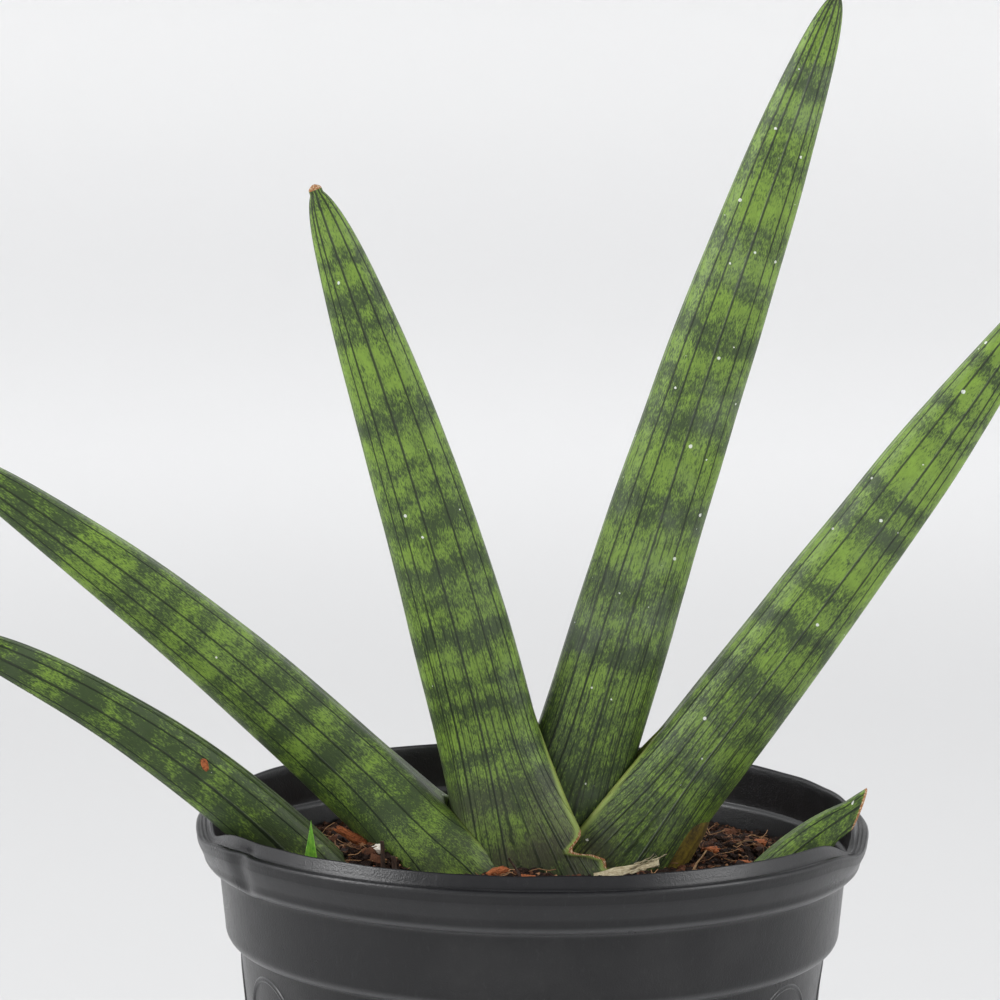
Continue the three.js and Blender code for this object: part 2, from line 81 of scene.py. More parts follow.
class PlantSizes(bpy.types.PropertyGroup):
    pot_height: length_setting("Pot height", "Underside to the top of the lip", 165.0)
    rim_radius: length_setting("Rim radius", "Outside of the collar's shoulder", RIM_RADIUS)
    base_radius: length_setting("Base radius", "Outside of the pot's foot", 60.0)
    wall: length_setting("Wall", "Thickness of the pot's wall", 1.2)
    soil_drop: length_setting("Soil drop", "Lip's top down to the soil at the wall", 17.5)
    root_depth: length_setting("Root depth", "Lip's top down to the buried leaf ends", 27.0)
    crumb: length_setting("Crumb size", "Width of a middling crumb of soil", 1.5)
    fibre_length: length_setting("Fibre length", "Length of a middling coir fibre", 7.0)


class PlantColours(bpy.types.PropertyGroup):
    leaf_light: colour_setting("Light leaf", "Leaf between the bands", (0.205, 0.335, 0.045))
    leaf_dark: colour_setting("Dark leaf", "Cross bands of the leaf", (0.030, 0.050, 0.020))
    leaf_line: colour_setting("Leaf furrow", "Lines along the leaf", (0.012, 0.019, 0.009))
    leaf_base: colour_setting("Leaf base", "Dull purple-grey of the leaf's foot", (0.082, 0.074, 0.052))
    leaf_margin: colour_setting("Leaf margin", "Pale edge of a wrapping base", (0.25, 0.33, 0.075))
    callus: colour_setting("Callus", "Dry healed tissue", (0.36, 0.15, 0.055))
    old_leaf: colour_setting("Old leaf", "Dying outer leaf base", (0.22, 0.16, 0.02))
    straw: colour_setting("Straw", "Dry sheath", (0.64, 0.58, 0.40))
    sprout: colour_setting("Sprout", "Young grass blade", (0.30, 0.62, 0.06))
    pot: colour_setting("Pot", "Black nursery plastic", (0.0065, 0.0065, 0.0075))
    soil_dark: colour_setting("Dark soil", "Peat", (0.020, 0.010, 0.007))
    soil_red: colour_setting("Red soil", "Coir and bark dust", (0.145, 0.058, 0.030))
    bark: colour_setting("Bark", "Orange bark chips", (0.42, 0.13, 0.045))
    perlite: colour_setting("Perlite", "White grains", (0.80, 0.76, 0.68))


# ---- mesh helpers ------------------------------------------------------------------


def make_mesh(name, points, faces, uvs=None, floats=None, vectors=None):
    """Mesh from points in millimetres; uvs follow the faces' corners, attributes follow the points."""
    mesh = bpy.data.meshes.new(name)
    mesh.from_pydata([Vector(p) * MM for p in points], [], faces)
    if uvs is not None:
        layer = mesh.uv_layers.new(name="UVMap")
        layer.data.foreach_set("uv", [c for uv in uvs for c in uv])
    for key, values in (floats or {}).items():
        mesh.attributes.new(key, "FLOAT", "POINT").data.foreach_set("value", values)
    for key, values in (vectors or {}).items():
        flat = [c for v in values for c in v]
        mesh.attributes.new(key, "FLOAT_VECTOR", "POINT").data.foreach_set("vector", flat)
    mesh.polygons.foreach_set("use_smooth", [True] * len(mesh.polygons))
    mesh.update()
    return mesh


def add_piece(name, mesh, material, replaced=()):
    """Links a finished mesh as a piece that rides on the one body."""
    piece = bpy.data.objects.new(name, mesh)
    bpy.context.scene.collection.objects.link(piece)
    mesh.materials.clear()
    mesh.materials.append(material)
    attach(piece, "root")
    if replaced:
        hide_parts(*replaced)
    return piece


def ring_faces(rows, sides, first=0, reverse=False):
    """Quads of a skin through rows of ring points, numbered row by row from first."""
    faces = []
    for i in range(rows - 1):
        for j in range(sides):
            a = first + i * sides + j
            b = first + i * sides + (j + 1) % sides
            faces.append((a, a + sides, b + sides, b) if reverse else (a, b, b + sides, a + sides))
    return faces


def fan_faces(hub, first, sides, reverse=False):
    """Triangles from a hub point to the ring of points that starts at first."""
    pairs = [(first + j, first + (j + 1) % sides) for j in range(sides)]
    return [(hub, b, a) if reverse else (hub, a, b) for a, b in pairs]


def round_ring(radius, sides, turn=0.0):
    """Places (x, y) round a circle; turn shifts them, as a share of their spacing."""
    angles = [2 * math.pi * (j + turn) / sides for j in range(sides)]
    return [(radius * math.cos(angle), radius * math.sin(angle)) for angle in angles]


def join_rings(rings):
    """Points and faces of a closed skin through rings of equal point counts."""
    sides = len(rings[0])
    points = [p for ring in rings for p in ring]
    faces = ring_faces(len(rings), sides)
    for first, reverse in ((0, True), ((len(rings) - 1) * sides, False)):
        faces += fan_faces(len(points), first, sides, reverse)
        points.append(sum((Vector(p) for p in points[first:first + sides]), Vector()) / sides)
    return points, faces


def smoothstep(value, low, high):
    t = min(1.0, max(0.0, (value - low) / (high - low)))
    return t * t * (3 - 2 * t)


def mix(a, b, t):
    return a + (b - a) * t


def signed_power(value, exponent):
    return math.copysign(abs(value) ** exponent, value)


# ---- shader helpers ----------------------------------------------------------------


class Wiring:
    """Adds nodes to a shader tree and links them, so that a material reads as a formula."""

    def __init__(self, tree):
        self.tree = tree

    def node(self, kind, settings=None, **inputs):
        made = self.tree.nodes.new(kind)
        for key, value in (settings or {}).items():
            setattr(made, key, value)
        for key, value in inputs.items():
            self.feed(made.inputs[key.replace("_", " ")], value)
        return made

    def feed(self, socket, value):
        if isinstance(value, bpy.types.NodeSocket):
            self.tree.links.new(value, socket)
        elif isinstance(value, (tuple, list)) and len(value) == 3 and socket.type == "RGBA":
            socket.default_value = (*value, 1.0)
        else:
            socket.default_value = value

    def math(self, operation, *values, clamp=False):
        made = self.node("ShaderNodeMath", {"operation": operation, "use_clamp": clamp})
        for socket, value in zip(made.inputs, values):
            self.feed(socket, value)
        return made.outputs[0]

    def vector_math(self, operation, *values):
        made = self.node("ShaderNodeVectorMath", {"operation": operation})
        for socket, value in zip(made.inputs, values):
            self.feed(socket, value)
        return made.outputs["Value" if operation in {"LENGTH", "DOT_PRODUCT"} else "Vector"]

    def colour(self, factor, a, b):
        """Colour a where factor is 0, and colour b where it is 1."""
        made = self.node("ShaderNodeMix", {"data_type": "RGBA"})
        for number, value in ((0, factor), (6, a), (7, b)):
            self.feed(made.inputs[number], value)
        return made.outputs[2]

    def weighted(self, *terms):
        """Sum of values times their weights."""
        total = 0.0
        for value, weight in terms:
            total = self.math("MULTIPLY_ADD", value, weight, total)
        return total

    def step(self, value, low, high):
        """Smooth 0 to 1 as value goes from low to high."""
        settings = {"interpolation_type": "SMOOTHSTEP"}
        return self.node("ShaderNodeMapRange", settings, Value=value, From_Min=low, From_Max=high).outputs[0]

    def noise(self, vector, scale, detail=2.0, roughness=0.5):
        made = self.node("ShaderNodeTexNoise", Vector=vector, Scale=scale, Detail=detail, Roughness=roughness)
        return made.outputs["Fac"]

    def attribute(self, name, output="Fac"):
        return self.node("ShaderNodeAttribute", {"attribute_name": name}).outputs[output]

    def scaled(self, vector, scale):
        return self.vector_math("MULTIPLY", vector, scale)

    def combine(self, x=0.0, y=0.0, z=0.0):
        return self.node("ShaderNodeCombineXYZ", X=x, Y=y, Z=z).outputs[0]

    def separate(self, vector):
        return self.node("ShaderNodeSeparateXYZ", Vector=vector).outputs

    def random_per(self, cell, seed):
        """A random number that is the same all over one cell."""
        place = self.combine(cell, seed)
        return self.node("ShaderNodeTexWhiteNoise", {"noise_dimensions": "2D"}, Vector=place).outputs["Value"]


def shared_group(name, wire, inputs, outputs):
    """The shader group of this name; wire fills it the first time. Sockets are listed by kind."""
    existing = bpy.data.node_groups.get(name)
    if existing:
        return existing
    group = bpy.data.node_groups.new(name, "ShaderNodeTree")
    for in_out, sockets in (("INPUT", inputs), ("OUTPUT", outputs)):
        for kind, labels in sockets.items():
            for label in labels:
                group.interface.new_socket(label, in_out=in_out, socket_type="NodeSocket" + kind)
    source, sink = group.nodes.new("NodeGroupInput"), group.nodes.new("NodeGroupOutput")
    wire(Wiring(group), source.outputs, sink.inputs)
    return group


def new_material(name, roughness=0.5, specular=0.5):
    """Material with a Principled shader; returns the material, its wiring and the shader."""
    material = bpy.data.materials.new(name)
    material.use_nodes = True
    wiring = Wiring(material.node_tree)
    shader = material.node_tree.nodes["Principled BSDF"]
    shader.inputs["Roughness"].default_value = roughness
    shader.inputs["Specular IOR Level"].default_value = specular
    return material, wiring, shader


def add_bump(wiring, shader, height, strength, distance_mm):
    bump = wiring.node("ShaderNodeBump", Height=height, Strength=strength, Distance=distance_mm * MM)
    wiring.feed(shader.inputs["Normal"], bump.outputs[0])


def use_group(wiring, group, **inputs):
    made = wiring.tree.nodes.new("ShaderNodeGroup")
    made.node_tree = group
    for key, value in inputs.items():
        wiring.feed(made.inputs[key.replace("_", " ")], value)
    return made.outputs


def object_position(wiring):
    """Object coordinates in millimetres."""
    place = wiring.node("ShaderNodeTexCoord").outputs["Object"]
    return wiring.scaled(place, (1 / MM, 1 / MM, 1 / MM))


# ---- shared shader groups ----------------------------------------------------------


def wire_dust(w, given, result):
    place = given["Position"]
    density = w.math("DIVIDE", 1.0, given["Speck spacing"])
    cells = w.node("ShaderNodeTexVoronoi", Vector=place, Scale=density)
    tone = w.separate(cells.outputs["Color"])
    chosen = w.math("LESS_THAN", tone[0], given["Speck share"])
    wobble = w.math("MULTIPLY", w.noise(place, 2.5, 1.0), 0.12)
    size = w.math("MULTIPLY", tone[1], given["Speck radius"])
    reach = w.math("SUBTRACT", w.math("ADD", size, wobble), 0.06)
    near = w.math("LESS_THAN", cells.outputs["Distance"], reach)
    w.feed(result["Specks"], w.math("MULTIPLY", chosen, near))
    cloud = w.step(w.noise(place, given["Haze scale"], 4.0, 0.6), 0.45, 0.75)
    w.feed(result["Haze"], w.math("MULTIPLY", cloud, given["Haze"]))


def dust_group():
    """White specks and a thin haze, used on the leaves and the pot."""
    numbers = ("Speck spacing", "Speck share", "Speck radius", "Haze", "Haze scale")
    return shared_group(
        "Dust", wire_dust, {"Vector": ("Position",), "Float": numbers}, {"Float": ("Specks", "Haze")}
    )


def wire_furrows(w, given, result):
    turns = w.math("MULTIPLY", given["Angle"], given["Count"])
    cell = w.math("FLOOR", turns)
    inside = w.math("SUBTRACT", turns, cell)
    place = w.math("MULTIPLY_ADD", w.random_per(cell, given["Seed"]), 0.5, 0.25)
    along = w.math("DIVIDE", given["Along"], given["Dash length"])
    drift = w.noise(w.combine(w.math("MULTIPLY", along, 0.7), cell, given["Seed"]), 1.0, 1.0)
    place = w.math("ADD", place, w.math("MULTIPLY", w.math("SUBTRACT", drift, 0.5), 0.16))
    offset = w.math("ABSOLUTE", w.math("SUBTRACT", inside, place))
    circumference = w.math("MULTIPLY", given["Girth"], 2 * math.pi)
    distance = w.math("MULTIPLY", offset, w.math("DIVIDE", circumference, given["Count"]))
    shift = w.math("MULTIPLY", w.random_per(cell, w.math("ADD", given["Seed"], 7.0)), 40.0)
    dash = w.noise(w.combine(w.math("ADD", along, shift), cell, 0.0), 1.0, 2.0, 0.6)
    shown = w.step(dash, given["Gaps"], w.math("ADD", given["Gaps"], 0.12))
    breadth = w.math("MULTIPLY", given["Width"], w.math("MULTIPLY_ADD", dash, 1.1, 0.45))
    core = w.math("SUBTRACT", 1.0, w.step(distance, w.math("MULTIPLY", breadth, 0.35), breadth))
    w.feed(result["Line"], w.math("MULTIPLY", core, shown))


def furrow_group():
    """Lines along a leaf: one row of them at a given count round the leaf."""
    numbers = ("Angle", "Along", "Girth", "Count", "Width", "Dash length", "Gaps", "Seed")
    return shared_group("Leaf furrows", wire_furrows, {"Float": numbers}, {"Float": ("Line",)})


def wire_leaf(w, given, result):
    shift = w.combine(0.0, 0.0, w.math("MULTIPLY", given["Seed"], 97.0))
    place = w.vector_math("ADD", given["Place"], shift)
    stretched = w.scaled(place, (1.0, 1.0, 0.5))
    speckle = w.noise(stretched, 2.3, 3.0, 0.8)
    grit = w.noise(w.scaled(place, (1.0, 1.0, 0.25)), 4.2, 1.0, 0.5)
    blotch = w.noise(w.scaled(place, (1.0, 1.0, 1.3)), 0.21, 2.0, 0.6)

    # Cross bands: soft at a distance, made of dark grains close up.
    fleck = w.noise(w.scaled(place, (1.0, 1.0, 0.38)), 0.95, 2.0, 0.6)
    edge = w.math("MULTIPLY_ADD", given["Band"], 0.72, w.math("MULTIPLY_ADD", given["Shade"], 0.5, 0.15))
    for grain, amount in ((speckle, 1.5), (grit, 1.6), (fleck, 0.9), (blotch, 1.1)):
        edge = w.math("ADD", edge, w.math("MULTIPLY", w.math("SUBTRACT", grain, 0.5), amount))
    band = w.step(edge, 0.02, 0.94)

    # Lines along the leaf: a few long ones, more short ones towards the foot.
    def furrows(count, width, dash_length, gaps, seed):
        return use_group(
            w, furrow_group(), Angle=given["Angle"], Along=given["Along"], Girth=given["Girth"], Width=width,
            Count=w.math("MULTIPLY", given["Line count"], count), Dash_length=dash_length, Gaps=gaps,
            Seed=w.math("ADD", given["Seed"], seed),
        )["Line"]

    fine_gaps = w.math("SUBTRACT", 0.66, w.math("MULTIPLY", given["Fine lines"], 0.30))
    hair_gaps = w.math("SUBTRACT", 0.62, w.math("MULTIPLY", given["Fine lines"], 0.22))
    lines = furrows(1.0, 0.29, 60.0, 0.26, 0.0)
    fine = furrows(3.0, 0.21, 9.0, fine_gaps, 3.0)
    hair = furrows(7.0, 0.14, 5.0, hair_gaps, 5.0)

    # Ground colour.
    lively = w.noise(w.scaled(place, (1.0, 1.0, 0.5)), 0.5, 3.0, 0.6)
    light = w.colour(w.step(lively, 0.3, 0.75), w.colour(0.28, given["Light"], given["Dark"]), given["Light"])
    colour = w.colour(w.math("MULTIPLY", band, 0.93), light, given["Dark"])
    foot = w.math("MULTIPLY", given["Foot"], w.step(w.noise(stretched, 0.12, 2.0), 0.25, 0.6))
    colour = w.colour(w.math("MULTIPLY", foot, 0.62), colour, given["Foot colour"])
    for row, depth in ((hair, 0.35), (fine, 0.72), (lines, 0.88)):
        colour = w.colour(w.math("MULTIPLY", row, depth), colour, given["Furrow"])
    colour = w.colour(w.step(given["Margin"], 0.15, 0.7), colour, given["Margin colour"])
    rusty = w.math("MULTIPLY", w.step(given["Margin"], 0.72, 0.95), given["Redness"])
    colour = w.colour(rusty, colour, (0.20, 0.045, 0.02))
    frayed = w.math("MULTIPLY", w.math("SUBTRACT", speckle, 0.5), 0.8)
    crust = w.step(w.math("ADD", given["Callus"], frayed), 0.4, 0.6)
    healed = w.colour(w.step(grit, 0.5, 0.66), given["Callus colour"], (0.70, 0.55, 0.36))
    colour = w.colour(crust, colour, healed)
    dust = use_group(
        w, dust_group(), Position=place, Speck_spacing=2.6, Speck_radius=0.20, Haze_scale=0.045,
        Speck_share=w.math("MULTIPLY", given["Dust"], 0.22), Haze=w.math("MULTIPLY", given["Dust"], 0.14),
    )
    colour = w.colour(dust["Haze"], colour, (0.42, 0.46, 0.42))
    colour = w.colour(w.math("MULTIPLY", dust["Specks"], 0.85), colour, (0.78, 0.80, 0.76))
    w.feed(result["Color"], colour)

    shine = w.weighted((grit, 0.16), (band, 0.05), (crust, 0.35), (dust["Specks"], 0.3))
    w.feed(result["Roughness"], w.math("ADD", shine, 0.36, clamp=True))
    w.feed(result["Height"], w.weighted(
        (lines, -1.0), (fine, -0.5), (grit, 0.5), (w.noise(stretched, 0.6), 0.7), (dust["Specks"], 0.8),
        (w.math("MULTIPLY", crust, grit), 2.0),
    ))


def leaf_group():
    """Colour, roughness and relief of a banded leaf, from its own attributes."""
    inputs = {
        "Vector": ("Place",),
        "Float": (
            "Angle", "Along", "Girth", "Band", "Foot", "Margin", "Callus", "Seed", "Line count", "Fine lines",
            "Dust", "Redness", "Shade",
        ),
        "Color": ("Light", "Dark", "Furrow", "Foot colour", "Margin colour", "Callus colour"),
    }
    return shared_group("Banded leaf", wire_leaf, inputs, {"Color": ("Color",), "Float": ("Roughness", "Height")})


# ---- pot ---------------------------------------------------------------------------


@dataclass
class PotShape:
    """Levels and radii of the pot, worked out from the sizes a user sets."""

    height: float
    rim: float
    base: float
    wall: float
    floor: float = 2.0
    lip_setback: float = 2.8
    lip_thickness: float = 1.4
    lip_rise: float = 2.7
    collar_height: float = 11.3
    collar_step: float = 5.2
    collar_foot_inset: float = 1.8
    band_height: float = 19.0
    band_taper: float = 1.8
    band_step: float = 3.2
    round_height: float = 4.0
    groove: float = 0.8

    def __post_init__(self):
        self.shoulder_z = self.height - self.lip_rise
        self.collar_z = self.shoulder_z - self.collar_height
        self.band_z = self.collar_z - self.band_height
        self.band_top = self.rim - self.collar_step
        self.band_foot = self.band_top - self.band_taper
        self.wall_top = self.band_foot - self.band_step
        self.lip_outer = self.rim - self.lip_setback
        self.lip_inner = self.lip_outer - self.lip_thickness


def pot_shape():
    sizes = bpy.context.scene.plant_sizes
    return PotShape(
        sizes.pot_height / MM, sizes.rim_radius / MM, sizes.base_radius / MM, sizes.wall / MM
    )


@dataclass
class LipPress:
    """Where an offshoot lies over the lip, by its angle round the pot, and how far it presses it down."""

    angle: float
    dip: float
    outward: float


LOW_PRESS = LipPress(math.radians(194.1), 3.6, 0.6)
STUB_PRESS = LipPress(math.radians(-17.4), 5.0, 1.6)
RIGHT_SAG = 0.011
END_SAG = 0.8
PRESS_HALF_WIDTH = 11.0
LEDGE_RISE = 1.2  # inner ledge above the collar's lower edge


def around(angle, centre):
    """Signed difference of two angles."""
    turn = angle - centre
    return math.atan2(math.sin(turn), math.cos(turn))


def settled(pot, x, y, z):
    """Height of a point of the soft pot once it has settled and the offshoots press on it."""
    angle = math.atan2(y, x)
    radius = math.hypot(x, y)
    drop = smoothstep(z, pot.band_z - 60, pot.band_z) * RIGHT_SAG * x
    rim = smoothstep(z, pot.collar_z, pot.shoulder_z)
    drop += rim * END_SAG * math.cos(angle) ** 2 * smoothstep(radius, pot.lip_inner / 2, pot.lip_inner)
    near_lip = smoothstep(radius, pot.lip_inner - 5, pot.lip_inner)
    lip = smoothstep(z, pot.shoulder_z - pot.groove, pot.height) * near_lip
    for press in (LOW_PRESS, STUB_PRESS):
        along = around(angle, press.angle) * pot.lip_outer
        near = math.exp(-((along / PRESS_HALF_WIDTH) ** 2))
        drop += press.dip * near * (0.55 * lip + 0.45 * rim * near_lip)
    return z - drop


def arc(r0, z0, r1, z1, steps, hollow=False):
    """Quarter round from (r0, z0) to (r1, z1); out first and then up, or up first if hollow."""
    made = []
    for i in range(steps + 1):
        angle = i / steps * math.pi / 2
        share_r, share_z = math.sin(angle), 1 - math.cos(angle)
        if hollow:
            share_r, share_z = share_z, share_r
        made.append((mix(r0, r1, share_r), mix(z0, z1, share_z)))
    return made


def straight(start, end, steps):
    shares = [i / steps for i in range(1, steps + 1)]
    return [(mix(start[0], end[0], share), mix(start[1], end[1], share)) for share in shares]


def pot_profile(pot):
    """Outside of the pot upwards, over the lip and down the inside, as (radius, height)."""
    collar_foot = pot.rim - pot.collar_foot_inset
    lip_top = pot.height - pot.lip_thickness / 2
    ledge = pot.collar_z + LEDGE_RISE
    band_low = (pot.band_foot, pot.band_z + pot.round_height)
    line = [(0.0, 0.0)]
    line += straight((0.0, 0.0), (pot.base - 2.5, 0.0), 8)
    line += arc(pot.base - 2.4, 0.0, pot.base, 2.4, 5)
    line += straight((pot.base, 2.4), (pot.wall_top - 0.5, pot.band_z - 1.2), 44)
    line += arc(pot.wall_top - 0.4, pot.band_z - 0.8, pot.wall_top + 0.3, pot.band_z, 3, hollow=True)
    line += arc(pot.wall_top + 0.5, pot.band_z, *band_low, 8)
    line += straight(band_low, (pot.band_top - 0.4, pot.collar_z - 0.9), 10)
    line += arc(pot.band_top - 0.3, pot.collar_z - 0.7, pot.band_top + 0.3, pot.collar_z, 3, hollow=True)
    line += arc(pot.band_top + 0.5, pot.collar_z, collar_foot, pot.collar_z + 3.2, 8)
    line += straight((collar_foot, pot.collar_z + 3.2), (pot.rim - 0.25, pot.shoulder_z - 3.4), 4)
    line += arc(pot.rim - 0.2, pot.shoulder_z - 3.2, pot.rim, pot.shoulder_z - 1.5, 2, hollow=True)
    line += [(pot.rim - 0.1, pot.shoulder_z - 0.8), (pot.rim - 0.45, pot.shoulder_z - 0.25)]
    line += [(pot.rim - 0.95, pot.shoulder_z), (pot.rim - 1.5, pot.shoulder_z - 0.35)]
    line += [(pot.lip_outer + 0.75, pot.shoulder_z - pot.groove)]
    line += [(pot.lip_outer + 0.4, pot.shoulder_z - 0.5)]
    line += straight((pot.lip_outer + 0.3, pot.shoulder_z), (pot.lip_outer - 0.55, lip_top), 4)
    line += [(pot.lip_outer - 0.7, pot.height - 0.25), (pot.lip_outer - 0.85, pot.height)]
    line += [(pot.lip_inner + 0.25, pot.height - 0.15), (pot.lip_inner, lip_top - 0.2)]
    line += straight((pot.lip_inner, lip_top - 0.2), (pot.lip_inner - 0.6, ledge + 1.6), 6)
    line += arc(pot.lip_inner - 0.7, ledge + 1.2, pot.band_top - pot.wall + 0.5, ledge, 4)
    band_top, band_foot, wall_top, base = (
        radius - pot.wall for radius in (pot.band_top, pot.band_foot, pot.wall_top, pot.base)
    )
    line += straight((band_top, ledge - 0.5), (band_foot, pot.band_z + 4.5), 6)
    line += arc(band_foot, pot.band_z + 4.0, wall_top, pot.band_z + pot.wall, 4)
    line += straight((wall_top, pot.band_z), (base, pot.floor + 1.5), 10)
    line += [(base - 1.5, pot.floor), (pot.base - 12.0, pot.floor), (0.0, pot.floor)]
    return line


BUCKLE_ANGLE = math.radians(212)  # a soft fold in the collar at the front left
BUCKLE_HALF_WIDTH = 3.6
POT_SIDES = 420


def pot_point(pot, radius, z, angle):
    """A point of the finished pot: the round profile, settled, pressed and a little wavy."""
    press_out = 0.0
    outer = smoothstep(radius, pot.lip_inner - 4, pot.lip_inner)
    near_lip = smoothstep(z, pot.shoulder_z - 2, pot.height) * outer
    for press in (LOW_PRESS, STUB_PRESS):
        along = around(angle, press.angle) * pot.lip_outer
        press_out += press.outward * near_lip * math.exp(-((along / 8.0) ** 2))
    upper = smoothstep(z, pot.band_z, pot.height)
    wave = noise.noise((math.cos(angle) * 2.2, math.sin(angle) * 2.2, 3.1)) * 0.25 * upper
    ripple = noise.noise((math.cos(angle) * 9, math.sin(angle) * 9, z * 0.05)) * 0.12 * upper
    lip_only = smoothstep(z, pot.shoulder_z - 0.5, pot.height) * outer
    lip_wave = noise.noise((math.cos(angle) * 6, math.sin(angle) * 6, 8.0)) * 0.22 * lip_only
    collar = smoothstep(z, pot.collar_z - 3, pot.collar_z + 2)
    collar *= 1 - smoothstep(z, pot.shoulder_z - 1, pot.height)
    outside = smoothstep(radius, pot.band_top - 3, pot.band_top + 2)
    along = around(angle, BUCKLE_ANGLE) * pot.rim
    crease = math.exp(-((along / BUCKLE_HALF_WIDTH) ** 2)) * collar * outside
    radius = radius + press_out + ripple * 0.6 - 1.1 * crease
    x, y = radius * math.cos(angle), radius * math.sin(angle)
    height = settled(pot, x, y, z) + (wave * 0.5 + lip_wave) * smoothstep(z, pot.band_z, pot.shoulder_z)
    return (x, y, height - 0.9 * crease * (1 - smoothstep(z, pot.collar_z, pot.shoulder_z - 2)))


def pot_mesh(pot):
    line = pot_profile(pot)
    points = [(0.0, 0.0, line[0][1])]
    for radius, z in line[1:-1]:
        for j in range(POT_SIDES):
            points.append(pot_point(pot, radius, z, 2 * math.pi * j / POT_SIDES))
    rows = len(line) - 2
    points.append((0.0, 0.0, line[-1][1]))
    faces = ring_faces(rows, POT_SIDES, first=1)
    faces += fan_faces(0, 1, POT_SIDES, reverse=True)
    faces += fan_faces(len(points) - 1, 1 + (rows - 1) * POT_SIDES, POT_SIDES)
    return make_mesh("pot", points, faces)


def pot_material():
    colours = bpy.context.scene.plant_colours
    material, w, shader = new_material("Nursery plastic")
    place = object_position(w)
    cloud = w.noise(place, 0.06, 4.0, 0.6)
    scuff = w.noise(w.scaled(place, (1.0, 1.0, 0.3)), 0.9, 3.0, 0.7)
    tone = w.math("MULTIPLY", w.step(scuff, 0.56, 0.8), 0.05)
    colour = w.colour(tone, tuple(colours.pot), (0.20, 0.20, 0.21))
    dust = use_group(
        w, dust_group(), Position=place, Speck_spacing=8.0, Speck_share=0.05, Speck_radius=0.13,
        Haze=0.03, Haze_scale=0.03,
    )
    colour = w.colour(dust["Haze"], colour, (0.33, 0.32, 0.31))
    colour = w.colour(w.math("MULTIPLY", dust["Specks"], 0.8), colour, (0.7, 0.7, 0.68))
    # The lip's top is polished black; the collar's and band's sloping edges and ledges get a painted highlight, a
    # paler colour wherever the surface is tilted from upright.
    upward = w.separate(w.node("ShaderNodeTexCoord").outputs["Normal"])[2]
    lip = w.math("MULTIPLY", w.step(upward, 0.25, 0.7), w.step(w.separate(place)[2], 150.0, 157.0))
    painted_edge_highlight = w.step(w.math("ABSOLUTE", upward), 0.2, 0.6)
    painted_edge_highlight = w.math("MULTIPLY", w.math("SUBTRACT", painted_edge_highlight, lip, clamp=True), 0.42)
    # Painted highlight: the tilted edges are coloured paler, as if they caught the light.
    colour = w.colour(painted_edge_highlight, colour, (0.13, 0.13, 0.135))
    w.feed(shader.inputs["Base Color"], colour)
    gloss = w.weighted((cloud, 0.16), (w.step(scuff, 0.5, 0.8), 0.12))
    w.feed(shader.inputs["Roughness"], w.math("ADD", gloss, 0.22))
    w.feed(shader.inputs["Specular IOR Level"], w.math("MULTIPLY_ADD", lip, -0.30, 0.42))
    relief = w.weighted((cloud, 3.0), (w.noise(place, 2.4), 1.0), (dust["Specks"], 2.0))
    add_bump(w, shader, relief, 0.45, 0.14)
    return material


# ---- soil --------------------------------------------------------------------------


@dataclass
class Heap:
    x: float
    y: float
    spread_x: float
    spread_y: float
    height: float


HEAPS = (
    Heap(4, 0, 46, 34, 3.4),  # round the leaf bases
    Heap(-40, -12, 10, 10, 7.5),  # between the two left leaves
    Heap(-6, -23, 9, 8, 2.2),  # in front of the centre leaf
    Heap(47, 13, 17, 18, 4.6),  # right of the right leaf
)


SOIL_GAP = 0.3  # between the soil and the pot
SOIL_RINGS = 96
SOIL_SIDES = 220


def soil_level(pot):
    return pot.height - bpy.context.scene.plant_sizes.soil_drop / MM


def soil_radius(pot):
    foot = pot.band_z + pot.round_height
    share = (soil_level(pot) - foot) / (pot.collar_z + LEDGE_RISE - foot)
    return mix(pot.band_foot, pot.band_top, share) - pot.wall - SOIL_GAP


def soil_top(pot, x, y):
    """Height of the soil's surface, before its crumbs."""
    edge = smoothstep(soil_radius(pot) - math.hypot(x, y), 0, 12)
    rise = 0.5 * math.sin(0.31 * x + 0.9) * math.cos(0.37 * y)
    rise += 0.35 * math.sin(0.57 * x - 0.49 * y)
    for heap in HEAPS:
        reach = ((x - heap.x) / heap.spread_x) ** 2 + ((y - heap.y) / heap.spread_y) ** 2
        rise += heap.height * math.exp(-reach)
    return settled(pot, x, y, soil_level(pot)) + edge * rise


def soil_mesh(pot):
    """The soil as one closed lump: rough on top, and following the pot's wall below."""
    points = [(0.0, 0.0, soil_top(pot, 0, 0))]
    for i in range(1, SOIL_RINGS + 1):
        for x, y in round_ring(soil_radius(pot) * i / SOIL_RINGS, SOIL_SIDES, 0.5 * (i % 2)):
            rough = noise.fractal((x * 0.35, y * 0.35, 5.0), 0.9, 2.1, 4) * 0.9
            points.append((x, y, soil_top(pot, x, y) + rough))
    inset, bottom_z = pot.wall + SOIL_GAP, pot.floor + 0.4
    side = (
        (pot.band_foot - inset, pot.band_z + pot.round_height), (pot.wall_top - inset, pot.band_z - 1),
        (pot.base - inset, bottom_z),
    )
    for radius, z in side:
        points += [(x, y, settled(pot, x, y, z)) for x, y in round_ring(radius, SOIL_SIDES)]
    rows = SOIL_RINGS + len(side)
    faces = ring_faces(rows, SOIL_SIDES, first=1, reverse=True) + fan_faces(0, 1, SOIL_SIDES)
    faces += fan_faces(len(points), 1 + (rows - 1) * SOIL_SIDES, SOIL_SIDES, reverse=True)
    points.append((0.0, 0.0, bottom_z))
    return make_mesh("soil", points, faces)


